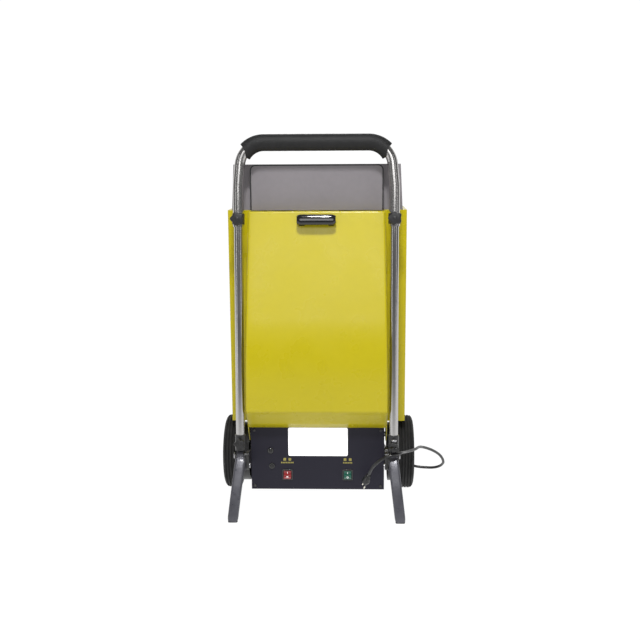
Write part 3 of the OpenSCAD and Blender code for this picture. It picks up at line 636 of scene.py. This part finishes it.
def hood_profile():
    """Rear face of the hood from its foot to its top edge, as (y, z), with round folds."""
    points = [HOOD_FOOT]
    for t in (0.25, 0.5, 0.75, 0.9):
        points.append((HOOD_FOOT[0] + (HOOD_BULGE_Y - HOOD_FOOT[0]) * t,
                       HOOD_FOOT[1] + (HOOD_FOLD_Z - HOOD_FOOT[1]) * t))
    for ahead, rise in ((0.0025, -0.0040), (0.0007, -0.0010), (0.0001, 0.0025), (0.0, 0.006)):
        points.append((HOOD_BULGE_Y + ahead, HOOD_FOLD_Z + rise))
    points += [(HOOD_BULGE_Y, HOOD_FOLD_Z + 0.061 * t) for t in (0.35, 0.7, 1.0)]
    a, b, c = (Vector((HOOD_BULGE_Y + ahead, z)) for z, ahead in HOOD_CURVE)
    for i in range(1, 17):
        p = bezier(a, b, c, i / 16)
        points.append((p.x, p.y))
    top = Vector((HOOD_TOP_Y - 0.004, HOOD_TOP_Z - 0.005))
    for i in range(1, 13):
        p = c.lerp(top, i / 12)
        points.append((p.x, p.y))
    return points


def hood_half_width(z):
    if z < HOOD_FOLD_Z:
        return HOOD_HALF_LOW
    t = (z - HOOD_FOLD_Z) / (HOOD_TOP_Z - HOOD_FOLD_Z)
    return HOOD_HALF_LOW + (HOOD_HALF_TOP - HOOD_HALF_LOW) * t


def hood_section(y, z, half):
    """A U in plan at height z: left side, rear face with rounded corners, right side."""
    columns = 20
    side_rows = 6
    corner = HOOD_CORNER
    left = [(-half, HOOD_FRONT_Y + (y + corner - HOOD_FRONT_Y) * i / side_rows) for i in range(side_rows)]
    for i in range(7):
        a = math.radians(180 + 90 * i / 6)
        left.append((-half + corner + corner * math.cos(a), y + corner + corner * math.sin(a)))
    span = half - corner
    centre = [(-span + 2 * span * i / columns, y) for i in range(1, columns)]
    right = [(-x, yy) for x, yy in reversed(left)]
    return [Vector((x, yy, z)) for x, yy in left + centre + right]


def make_hood():
    """The hood's sheet: its rear face and sides, a round top edge and the top."""
    bm = bmesh.new()
    profile = hood_profile()
    sections = [hood_section(y, z, hood_half_width(z)) for y, z in profile]
    y, z = profile[-1]
    rise = HOOD_TOP_Z - z
    for i in range(1, 9):
        a = math.radians(90 * i / 8)
        inset = HOOD_EDGE * (1 - math.cos(a))
        back = y + 0.0035 * (1 - math.cos(a)) + 0.0005 * math.sin(a)
        sections.append(hood_section(back, z + rise * math.sin(a), hood_half_width(z) - inset))
    top = grid_faces(bm, sections, closed_ring=False, caps=False)[-1]
    for k in range(len(top) // 2):
        j = len(top) - 1 - k
        if j - 1 > k + 1:
            bm.faces.new((top[k], top[k + 1], top[j - 1], top[j]))
        elif j - 1 == k + 1:
            bm.faces.new((top[k], top[k + 1], top[j]))
    obj = new_piece("hood_shell", bm, LOOKS["yellow_paint"], 50)
    solid = obj.modifiers.new("sheet", "SOLIDIFY")
    solid.thickness = HOOD_T
    solid.offset = -1
    solid.use_even_offset = True
    apply_modifiers(obj)
    belongs(obj, "rear_hood")


def make_hood_ears():
    """The hood's two ears, with the holes for the hinge pins."""
    hinge = Vector(joint("door_hinge")["pos_m"])
    ear_radius = 0.020
    hole_radius = 0.0041
    foot_y, foot_z = HOOD_FOOT
    root_z = foot_z + 0.012
    outline = [(HOOD_FRONT_Y, root_z), (foot_y, root_z), (foot_y, foot_z)]
    for i in range(13):
        a = math.radians(215 + 115 * i / 12)
        outline.append((hinge.y + ear_radius * math.cos(a), hinge.z + ear_radius * math.sin(a)))
    outline.append((HOOD_FRONT_Y, foot_z))
    hole = [(hinge.y + y, hinge.z + z) for y, z in circle(hole_radius, 24)]
    bm = bmesh.new()
    for side in (-1, 1):
        faces = []
        for x in (side * HOOD_HALF_LOW, side * (HOOD_HALF_LOW - HOOD_T)):
            loops = [[bm.verts.new((x, y, z)) for y, z in ring] for ring in (outline, hole)]
            edges = []
            for ring in loops:
                edges += [bm.edges.new((a, b)) for a, b in zip(ring, ring[1:] + ring[:1])]
            bmesh.ops.triangle_fill(bm, use_beauty=True, use_dissolve=False, edges=edges)
            faces.append(loops)
        for a, b in zip(faces[0], faces[1]):
            for k in range(len(a)):
                j = (k + 1) % len(a)
                bm.faces.new((a[k], a[j], b[j], b[k]))
    ears = new_piece("hood_ears", bm, LOOKS["yellow_paint"], 30)
    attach(ears, "rear_door")


def make_pull_handle():
    """A gloss bow on two feet, hollowed for the fingers."""
    low, high, _ = extent("pull_handle")
    lean = math.radians(-12.5)
    direction = Vector((0, -math.cos(lean), -math.sin(lean)))
    half = (high.x - low.x) / 2
    base = facing((0, -0.062, 0.839), direction)
    finger_end = 0.62            # where the hollow ends, as a share of the half length
    finger_back = 0.019          # from the hood to the bow's inner side at the hollow
    bm = bmesh.new()
    count = 40
    rings = []
    for i in range(count + 1):
        t = -1 + 2 * i / count
        x = half * 0.985 * math.sin(t * math.pi / 2)
        reach = (1 - abs(t) ** 5) ** 0.5 if abs(t) < 1 else 0
        height = 0.0150 * (0.55 + 0.45 * max(reach, 0.02))
        front = 0.034 - 0.004 * abs(t) ** 3
        back = finger_back - 0.016 * min(1, max(0, abs(t) - finger_end) / 0.16)
        section = super_ellipse((front - back) / 2, height, 0.9, 28)
        rings.append([base @ Vector((x, v, (front + back) / 2 + u)) for u, v in section])
    grid_faces(bm, rings)
    for side in (-1, 1):
        foot = base @ Matrix.Translation((side * (half - 0.014), 0, 0))
        slab(bm, round_rect(0.026, 0.028, 0.009), -0.001, 0.0045, foot)
        lathe(bm, [(0.0095, 0.002), (0.0085, 0.020)], foot, 32)
    belongs(new_piece("pull_bow", bm, LOOKS["black_gloss"], 45), "pull_handle")


make_hood()
make_hood_ears()
make_pull_handle()


# ---------- painted shade along the top of the grey housing ---

def make_panel_edge_shade():
    """A dark strip along the top of the raised panel: painted shade where the panel's top edge lies in shadow."""
    panel_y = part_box("upper_housing")[0][1]
    half, corner, width = 0.191, 0.016, 0.0030
    foot_z, top_z = 0.869, 0.997
    centre_z = top_z - corner
    rows = []
    for grow in (0.0003, -width):
        radius = corner + grow
        line = [(-half - grow, foot_z)]
        for cx, start in ((-half + corner, 180), (half - corner, 90)):
            for i in range(9):
                a = math.radians(start - 90 * i / 8)
                line.append((cx + radius * math.cos(a), centre_z + radius * math.sin(a)))
        line.append((half + grow, foot_z))
        rows.append(line)
    bm = bmesh.new()
    outline = rows[0] + rows[1][::-1]
    slab(bm, outline, 0.0001, 0.0012, facing((0, panel_y, 0), REAR))
    # a thin black sheet that paints the shade along the panel's top edge
    edge_shade = new_piece("panel_edge_shade", bm, LOOKS["black_plastic"], 30)
    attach(edge_shade, BODY_OF["upper_housing"])


make_panel_edge_shade()


# ---------- handle: foam, collars, knobs ----------

SOCKET_PIN = Vector((0, -0.146, 0.170))      # middle of the socket pins' axis
TUBE_X = 0.2205              # from the middle to a lower tube's axis
GRIP_R = 0.0235
LOOP_R = 0.015
BEND_X = 0.1474              # centre of the loop's bends
BEND_R = 0.068
GRIP_H = 0.893               # from the socket pins to the grip's axis
COLLAR_H = 0.680             # from the socket pins to the collars' middle
FOAM_WAVER = 0.00012         # how much the foam's radius varies


def loop_frame():
    """The handle's own frame: X to the right, Y square to the loop, Z along the tubes."""
    return Matrix((Vector((1, 0, 0)), -HANDLE_REAR, ALONG)).transposed().to_4x4()


def make_foam_grip():
    """A foam sleeve over the loop's two bends and the bar between, its ends cut on the skew."""
    turn = Matrix.Translation(SOCKET_PIN) @ loop_frame()
    chance = random.Random(5)
    sides = 40
    steps = 24
    columns = 60

    def foam_radius():
        return GRIP_R + chance.uniform(-FOAM_WAVER, FOAM_WAVER)

    def bend_ring(place, radius, mirror):
        ring = []
        for k in range(sides):
            b = 2 * math.pi * k / sides
            start = math.radians(36 + 8 * math.cos(b) + 4 * math.sin(b) ** 2)
            a = start + (math.pi / 2 - start) * place
            out = BEND_R + radius * math.cos(b)
            x = BEND_X + out * math.cos(a)
            z = GRIP_H - BEND_R + out * math.sin(a)
            ring.append(turn @ Vector((mirror * x, radius * math.sin(b), z)))
        return ring

    def half(mirror):
        rows = [bend_ring(0, LOOP_R + 0.0003, mirror), bend_ring(0, GRIP_R - 0.0016, mirror)]
        for i in range(steps + 1):
            place = 0.012 if i == 0 else i / steps
            rows.append(bend_ring(place, foam_radius(), mirror))
        return rows

    right = half(1)
    left = half(-1)
    across = []
    for i in range(1, columns):
        x = BEND_X * (1 - 2 * i / columns)
        section = circle(foam_radius(), sides)
        across.append([turn @ Vector((x, v, GRIP_H + u)) for u, v in section])
    bm = bmesh.new()
    grid_faces(bm, right + across + left[::-1], caps=False)
    belongs(new_piece("foam_sleeve", bm, LOOKS["foam"], 60), "foam_grip")


KNOB_LOBES = 5
KNOB_WAVE = 0.0022           # from a knob's pitch circle to a lobe's crest
KNOB_BACK = 0.0233           # from a tube's skin to an upper knob's face
KNOB_TOP = 0.016             # from a knob's face to the end of its boss


def star_outline(radius):
    points = []
    for i in range(90):
        a = 2 * math.pi * i / 90
        r = radius - KNOB_WAVE + KNOB_WAVE * math.cos(KNOB_LOBES * a)
        points.append((r * math.cos(a), r * math.sin(a)))
    return points


def star_knob(name, node, face, direction, radius, screw):
    """face is the middle of the knob's outer face, direction points out of it.

    screw is the length of the bare screw behind the knob's boss."""
    base = facing(face, -Vector(direction))
    bm = bmesh.new()
    levels = [(0.86, 0.0000), (0.95, 0.0006), (1.0, 0.0020), (1.0, 0.0096), (0.96, 0.0112), (0.88, 0.0120)]
    rings = []
    for scale, z in levels:
        rings.append([base @ Vector((x * scale, y * scale, z)) for x, y in star_outline(radius)])
    grid_faces(bm, rings)
    lathe(bm, [(0.0075, 0.0118), (0.0070, KNOB_TOP)], base, 32)
    tip = KNOB_TOP + screw
    lathe(bm, [(0.0040, 0.0158), (0.0040, tip - 0.0006), (0.0034, tip)], base, 24)
    lathe(bm, [(0.0062, -0.0004), (0.0050, -0.0012)], base, 32)
    belongs(new_piece(name, bm, LOOKS["black_plastic"], 40), node)


def on_handle(x, y, z):
    """A point given in the handle's own frame, in metres."""
    return SOCKET_PIN + Vector((x, 0, 0)) - HANDLE_REAR * y + ALONG * z


def make_knobs():
    """Two upper knobs on the collars, a lower left one on its socket, a lower right one under a lug."""
    for side, word in SIDES:
        face = on_handle(side * TUBE_X, -LOOP_R - KNOB_BACK, COLLAR_H)
        star_knob(f"upper_star_knob_{word}", f"knob_upper_{word}", face, HANDLE_REAR, 0.020, 0.007)
    lower_radius = 0.0164
    lug_y = -0.0335
    face = on_handle(-TUBE_X, -0.0155 - 0.0193, 0.040)
    star_knob("lower_star_knob_left", "knob_lower_left", face, HANDLE_REAR, lower_radius, 0.003)
    face = on_handle(TUBE_X, lug_y, 0.0218)
    star_knob("lower_star_knob_right", "knob_lower_right", face, -ALONG, lower_radius, 0.012)
    bm = bmesh.new()
    base = facing(on_handle(TUBE_X, lug_y, 0.0497), ALONG)
    slab(bm, circle(0.0068, 6), 0.0, 0.0048, base)
    nut = new_piece("lower_knob_nut", bm, LOOKS["plain_steel"], 30)
    bevel(nut, 0.0006)
    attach(nut, "lower_knob_right")


def make_collars():
    """Slim clamp collars at the loop's lower ends, each with the boss that the knob's screw runs in."""
    bore, rim, outside = LOOP_R + 0.00002, 0.0168, 0.0174
    half, shoulder = 0.0150, 0.0140
    section = [(bore, -half), (rim, -half), (outside, -shoulder), (outside, shoulder), (rim, half),
               (bore, half), (bore, -half)]
    bm = bmesh.new()
    for side in (-1, 1):
        ring = facing(on_handle(side * TUBE_X, 0, COLLAR_H), ALONG)
        lathe(bm, section, ring, 48, caps=False)
        boss = facing(on_handle(side * TUBE_X, -0.0155, COLLAR_H), HANDLE_REAR)
        lathe(bm, [(0.0082, 0.0), (0.0082, 0.0058), (0.0076, 0.0066)], boss, 32)
    belongs(new_piece("slim_collars", bm, LOOKS["black_plastic"], 35), "clamp_collars")


make_foam_grip()
make_collars()
make_knobs()


# ---------- legs ----------

LEG_SPLAY = math.radians(6.7)
# (y, z) of the bar's top end, of the point that bows it, and of its foot
LEG_BOW = (Vector((-0.150, 0.172)), Vector((-0.203, 0.120)), Vector((-0.2243, 0.0)))
SPLAY_Z = 0.150              # height at which the splay starts
LEG_GAP = 0.0012             # from the floor to the leg's foot


def make_leg(side, word):
    """A bowed bar with a rounded section, hung under the socket by an eye, a neck and a shoulder."""
    start, pull, end = LEG_BOW
    splay = Matrix.Translation((TUBE_X, 0, SPLAY_Z)) @ Matrix.Rotation(-LEG_SPLAY, 4, "Y")
    splay = splay @ Matrix.Translation((0, 0, -SPLAY_Z))
    bm = bmesh.new()
    outline = round_rect(0.030, 0.017, 0.0062, 6)
    end_scales = {0: 0.88, 31: 0.97, 32: 0.86}
    rings = []
    for i in range(33):
        t = 0.06 + 0.94 * i / 32
        p = bezier(start, pull, end, t)
        d = ((1 - t) * (pull - start) + t * (end - pull)).normalized()
        normal = Vector((d.y, -d.x))
        scale = end_scales.get(i, 1.0)
        ring = []
        for u, v in outline:
            y = p.x + normal.x * v * scale
            z = p.y + normal.y * v * scale
            point = splay @ Vector((u * scale, y, z))
            point.x *= side
            point.z = max(point.z, LEG_GAP)
            ring.append(point)
        rings.append(ring)
    grid_faces(bm, rings)
    eye_centre = Vector((side * TUBE_X, SOCKET_PIN.y, SOCKET_PIN.z))
    eye = Matrix.Translation(eye_centre) @ Matrix.Rotation(math.radians(90), 4, "Y")
    half = 0.0103
    lathe(bm, [(0.0148, -half), (0.016, -half + 0.0012), (0.016, half - 0.0012), (0.0148, half)], eye, 48)
    neck = Matrix.Translation((side * TUBE_X, -0.148, 0.151))
    slab(bm, round_rect(0.0206, 0.026, 0.004), -0.016, 0.016, neck)
    shoulder = Matrix.Translation((side * 0.2177, -0.140, 0.1395))
    slab(bm, round_rect(0.0256, 0.026, 0.005), -0.0125, 0.0125, shoulder)
    belongs(new_piece(f"bowed_leg_{word}", bm, LOOKS["leg_metal"], 40), f"leg_{word}")


for leg_side, leg_word in SIDES:
    make_leg(leg_side, leg_word)


# ---------- wheels ----------

TYRE_BORE = 0.072            # the tyre's inner radius
TYRE_SIDES = 128


def tyre_profile(x0, x1, radius):
    """(radius, x) points round the tyre's section, with four tread grooves."""
    inner_wall = ((0.028, 0.0), (0.020, 0.0010), (0.008, 0.0042), (0.0035, 0.0062), (0.0008, 0.0078))
    points = [(TYRE_BORE, x0)] + [(radius - drop, x0 + inset) for drop, inset in inner_wall]
    pitch = (x1 - x0 - 0.018) / 4
    groove = ((0.0009, 0.0030), (0.0040, 0.0026), (0.0040, 0.0008), (0.0009, 0.0003))
    for g in range(4):
        a = x0 + 0.0085 + g * pitch
        points += [(radius, a), (radius, a + pitch - 0.0036)]
        points += [(radius - drop, a + pitch - short) for drop, short in groove]
    outer_wall = ((0.0006, 0.0092), (0.003, 0.0060), (0.007, 0.0030), (0.013, 0.0008), (0.018, 0.0),
                  (0.026, 0.0014), (0.030, 0.0006))
    points += [(radius - drop, x1 - inset) for drop, inset in outer_wall]
    return points + [(0.078, x1 - 0.0002), (0.074, x1 - 0.0024), (TYRE_BORE, x1 - 0.004)]


def make_wheel(side, word):
    """The tyre, and the cap over the axle's end."""
    low, high, centre = extent(f"tyre_{word}")
    radius = (high.z - low.z) / 2
    x0, x1 = sorted((abs(low.x), abs(high.x)))
    axle = facing((0, centre.y, centre.z), (side, 0, 0))
    bm = bmesh.new()
    lathe(bm, tyre_profile(x0, x1, radius), axle, TYRE_SIDES, caps=False)
    lathe(bm, [(TYRE_BORE, x1 - 0.004), (TYRE_BORE, x0)], axle, TYRE_SIDES, caps=False)
    belongs(new_piece(f"ribbed_tyre_{word}", bm, LOOKS["tyre_rubber"], 40), f"tyre_{word}")
    bm = bmesh.new()
    cap_profile = ((0.0132, 0.0300), (0.0132, 0.0075), (0.0120, 0.0055), (0.0060, 0.0050))
    lathe(bm, [(r, x1 - inset) for r, inset in cap_profile], axle, 40)
    cap = new_piece(f"axle_cap_{word}", bm, LOOKS["plain_steel"], 35)
    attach(cap, f"wheel_{word}")


for wheel_side, wheel_word in SIDES:
    make_wheel(wheel_side, wheel_word)


# ---------- control panel: plate, rockers, reset buttons, marks ----------

PANEL_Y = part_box("control_panel")[0][1]
SWITCH_Z = 0.093
MARKS_Z = 0.135
SWITCHES = ("rocker_red", "rocker_green")
RESETS = ("reset_button_upper", "reset_button_lower")


def make_rating_plate():
    """The blank white plate on the panel."""
    low, high, centre = extent("rating_plate")
    bm = bmesh.new()
    base = facing((centre.x, PANEL_Y, centre.z), REAR)
    slab(bm, round_rect(high.x - low.x, high.z - low.z, 0.005), 0.0001, 0.0012, base)
    plate = belongs(new_piece("blank_plate", bm, LOOKS["white_plate"], 30), "rating_plate")
    bevel(plate, 0.0004)


def make_rocker(node, name):
    """A rocker key: two hollowed faces that meet in the middle, with generic on and off marks."""
    low, high, centre = extent(node)
    half = (high.z - low.z) / 2
    bm = bmesh.new()
    profile = [(0.009, -half + 0.004), (0.009, half - 0.004), (-0.0008, half), (-0.0016, half - 0.0006)]
    for i in range(9):
        t = i / 8
        y = -0.0016 - 0.0006 * t + 0.0010 * math.sin(math.pi * t)
        profile.append((y, half - 0.0006 - (half - 0.001) * t))
    for i in range(1, 9):
        t = i / 8
        profile.append((-0.0026 - 0.0033 * t + 0.0012 * math.sin(math.pi * t), -half * t))
    profile.append((-0.0050, -half))
    rings = []
    for x in (-0.011, -0.0105, 0.0105, 0.011):
        rings.append([Vector((centre.x + x, PANEL_Y + y, centre.z + z)) for y, z in profile])
    grid_faces(bm, rings)
    key = belongs(new_piece(name, bm, LOOKS[SLOT_OF[node]], 30), node)
    bevel(key, 0.0005)
    # on and off marks: a bar and a ring, as on any rocker
    bm = bmesh.new()
    upper = facing((centre.x, PANEL_Y - 0.0022, centre.z + half * 0.50), (0, -1, 0.05))
    lower = facing((centre.x, PANEL_Y - 0.0053, centre.z - half * 0.52), (0, -1, -0.3))
    slab(bm, round_rect(0.0011, 0.0052, 0.0004, 3), -0.0006, 0.0004, upper)
    inside, outside, back, front = 0.0021, 0.0029, -0.0006, 0.0005
    ring = [(inside, back), (inside, front), (outside, front), (outside, back), (inside, back)]
    lathe(bm, ring, lower, 32, caps=False)
    # the marks share the plate's painted glow
    marks = new_piece(f"{name}_marks", bm, LOOKS["white_plate"], 30)
    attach(marks, BODY_OF[node])


def make_bezels():
    """The two switch surrounds: a raised frame with rounded corners and a box behind the panel."""
    bm = bmesh.new()
    depth = -0.0200
    section = [                  # (width, height, distance in front of the panel)
        (0.031, 0.034, 0.0), (0.031, 0.034, 0.0014), (0.0296, 0.0326, 0.0022), (0.0244, 0.0276, 0.0022),
        (0.0232, 0.0264, 0.0012), (0.0230, 0.0262, depth), (0.025, 0.028, depth), (0.0262, 0.0292, 0.0),
    ]
    for node in SWITCHES:
        base = facing((extent(node)[2].x, PANEL_Y, SWITCH_Z), REAR)
        rings = [lifted(round_rect(width, height, 0.0022, 4), z, base) for width, height, z in section]
        grid_faces(bm, rings + rings[:1], caps=False)
        back = base @ Matrix.Translation((0, 0, -0.0205))
        slab(bm, round_rect(0.0255, 0.0285, 0.002, 4), 0.0, 0.0010, back)
    belongs(new_piece("switch_surrounds", bm, LOOKS["black_gloss"], 35), "rocker_bezels")


def make_resets():
    """Two knurled collars through the panel, and the button in each."""
    bm = bmesh.new()
    knurls = 16
    depth = -0.018
    collar = [(0.0058, depth), (0.0058, 0.0), (0.0090, 0.0), (0.0090, 0.0014), (0.0082, 0.0026),
              (0.0058, 0.0031), (0.0047, 0.0028), (0.0046, 0.0), (0.0046, depth), (0.0058, depth)]
    for node in RESETS:
        centre = extent(node)[2]
        base = facing((centre.x, PANEL_Y, centre.z), REAR)
        lathe(bm, collar, base, 48, caps=False)
        for k in range(knurls):
            a = 2 * math.pi * k / knurls
            spot = base @ Matrix.Rotation(a, 4, "Z") @ Matrix.Translation((0.0087, 0, 0))
            slab(bm, round_rect(0.0010, 0.0012, 0.0004, 2), 0.0002, 0.0014, spot)
    belongs(new_piece("reset_nuts", bm, LOOKS["black_gloss"], 35), "reset_collars")
    for node in RESETS:
        low, high, centre = extent(node)
        base = facing((centre.x, high.y, centre.z), REAR)
        length = high.y - low.y
        bm = bmesh.new()
        lathe(bm, [(0.0044, 0.0), (0.0044, length - 0.0012), (0.0038, length - 0.0004), (0.0026, length),
                   (0.0016, length - 0.0003)], base, 40)
        belongs(new_piece(f"{node}_cap", bm, LOOKS["black_plastic"], 40), node)


def make_switch_marks():
    """Plain yellow marks over each switch: two small squares over a row of dashes, no letters."""
    bm = bmesh.new()
    row_y = 0.0050               # from the middle of the marks to each row
    pitch = 0.0048               # of the dashes
    thick = 0.0003
    for node, dashes in zip(SWITCHES, (8, 6)):
        base = facing((extent(node)[2].x, PANEL_Y, MARKS_Z), REAR)
        for x in (-0.0076, 0.0076):
            spot = base @ Matrix.Translation((x, row_y, 0))
            slab(bm, round_rect(0.0080, 0.0080, 0.0012, 3), 0.0, thick, spot)
        for i in range(dashes):
            spot = base @ Matrix.Translation(((i - (dashes - 1) / 2) * pitch, -row_y, 0))
            slab(bm, round_rect(0.0034, 0.0044, 0.0010, 3), 0.0, thick, spot)
    marks = new_piece("switch_marks", bm, MARK, 30)
    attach(marks, "chassis")


make_rating_plate()
make_rocker("rocker_red", "vacuum_rocker")
make_rocker("rocker_green", "brush_rocker")
make_bezels()
make_resets()
make_switch_marks()


# ---------- screws ----------

SCREW_H = 0.0024
CASING_X = 0.2606            # just outside the casing's sides


def pan_screw(bm, origin, direction, radius):
    """A pan head with a cross on it."""
    base = facing(origin, direction)
    head = ((1, 0.0), (1, 0.35), (0.86, 0.75), (0.55, 0.98), (0.30, 1))
    lathe(bm, [(radius * wide, SCREW_H * high) for wide, high in head], base, 32)
    bar = round_rect(radius * 1.1, radius * 0.24, radius * 0.1, 2)
    for angle in (20, 110):
        cross = base @ Matrix.Rotation(math.radians(angle), 4, "Z")
        slab(bm, bar, SCREW_H * 0.6, SCREW_H * 1.04, cross)


def screw_places():
    """Each screw's place, its outward direction and its radius."""
    places = []
    for x in (-0.186, 0.186):
        for z in (0.058, 0.229):
            places.append(((x, PANEL_Y - 0.0001, z), REAR, 0.0045))
    for side in (-1, 1):
        for y in (0.050, 0.150):
            for z in (0.252, 0.847):
                places.append(((side * CASING_X, y, z), (side, 0, 0), 0.005))
    return places


def make_screws():
    bm = bmesh.new()
    for place, direction, radius in screw_places():
        pan_screw(bm, place, direction, radius)
    belongs(new_piece("pan_screws", bm, LOOKS[SLOT_OF["housing_screws"]], 30), "housing_screws")


make_screws()


# ---------- brush ----------

def make_bristles():
    """Eight rows of bristle tufts set in the brush's core."""
    low, high, centre = extent("brush_bristles")
    reach = (high.z - low.z) / 2
    core = 0.026
    margin = 0.006               # from an end of the brush to its first tuft
    chance = random.Random(11)
    bm = bmesh.new()
    rows, tufts, strands = 8, 34, 7
    for row in range(rows):
        for i in range(tufts):
            x = low.x + margin + (high.x - low.x - 2 * margin) * i / (tufts - 1)
            a = 2 * math.pi * row / rows + 0.10 * math.sin(i * 0.4)
            for _ in range(strands):
                lean_x = chance.uniform(-0.10, 0.10)
                angle = a + chance.uniform(-0.05, 0.05)
                out = Vector((0, math.cos(angle), math.sin(angle)))
                foot = Vector((x + chance.uniform(-0.002, 0.002), centre.y, centre.z)) + out * core
                length = (reach - 0.001 - core) * chance.uniform(0.95, 1.0)
                tip = foot + (out + Vector((lean_x * 0.6, 0, 0))).normalized() * length
                tip.x = min(max(tip.x, low.x), high.x)
                base = facing(foot, tip - foot, (1, 0, 0))
                lathe(bm, [(0.0011, 0.0), (0.0009, (tip - foot).length)], base, 4)
    belongs(new_piece("bristle_tufts", bm, LOOKS["bristle"], 60), "brush_bristles")


make_bristles()


# ---------- stage ----------

def area_light(name, place, target, size, power):
    data = bpy.data.lights.new(name, "AREA")
    data.shape = "RECTANGLE"
    data.size, data.size_y = size
    data.energy = power
    lamp = bpy.data.objects.new(name, data)
    scene.collection.objects.link(lamp)
    lamp.location = place
    lamp.rotation_euler = (Vector(target) - Vector(place)).to_track_quat("-Z", "Y").to_euler()


def studio_world():
    """White behind the object as seen from its working side, a dim room everywhere else."""
    world = bpy.data.worlds.new("studio")
    scene.world = world
    world.use_nodes = True
    tree = world.node_tree
    background = tree.nodes["Background"]
    coords = tree.nodes.new("ShaderNodeTexCoord")
    dot = tree.nodes.new("ShaderNodeVectorMath")
    dot.operation = "DOT_PRODUCT"
    dot.inputs[1].default_value = (0, 1, 0)
    tree.links.new(coords.outputs["Generated"], dot.inputs[0])
    level = tree.nodes.new("ShaderNodeMapRange")
    level.interpolation_type = "SMOOTHSTEP"
    level.inputs["From Min"].default_value = 0.78
    level.inputs["From Max"].default_value = 0.90
    level.inputs["To Min"].default_value = 0.17
    level.inputs["To Max"].default_value = 1.0
    tree.links.new(dot.outputs["Value"], level.inputs["Value"])
    background.inputs["Color"].default_value = (1, 1, 1, 1)
    tree.links.new(level.outputs["Result"], background.inputs["Strength"])


def make_sweep():
    """A white sweep: floor, a wide curve and a wall behind."""
    curve_y, curve_r = 3.0, 1.5
    line = [(-9.0, 0.0)]
    for i in range(17):
        a = math.radians(90 * i / 16)
        line.append((curve_y + curve_r * math.sin(a), curve_r - curve_r * math.cos(a)))
    line.append((curve_y + curve_r, 6.0))
    bm = bmesh.new()
    rows = [[Vector((x, y, z)) for x in (-12, 12)] for y, z in line]
    grid_faces(bm, rows, closed_ring=False, caps=False)
    floor = new_piece("floor", bm, floor_paint(), 60)


def make_lights():
    area_light("soft_front", (0.0, -3.3, 1.92), (0, 0, 0.8), (2.2, 0.95), 20)
    area_light("key_light", (0.05, -1.9, 3.2), (0, 0, 0.6), (0.35, 0.35), 80)
    area_light("left_strip", (-2.2, -1.6, 1.2), (0, 0, 0.7), (0.35, 2.0), 4)
    area_light("right_strip", (2.2, -1.8, 1.2), (0, 0, 0.7), (0.35, 2.0), 3)
    area_light("back_light", (0.5, 2.6, 2.6), (0, 0, 0.6), (1.6, 1.0), 8)


make_sweep()
studio_world()
make_lights()
scene.view_settings.view_transform = "Standard"
scene.view_settings.exposure = 0.0
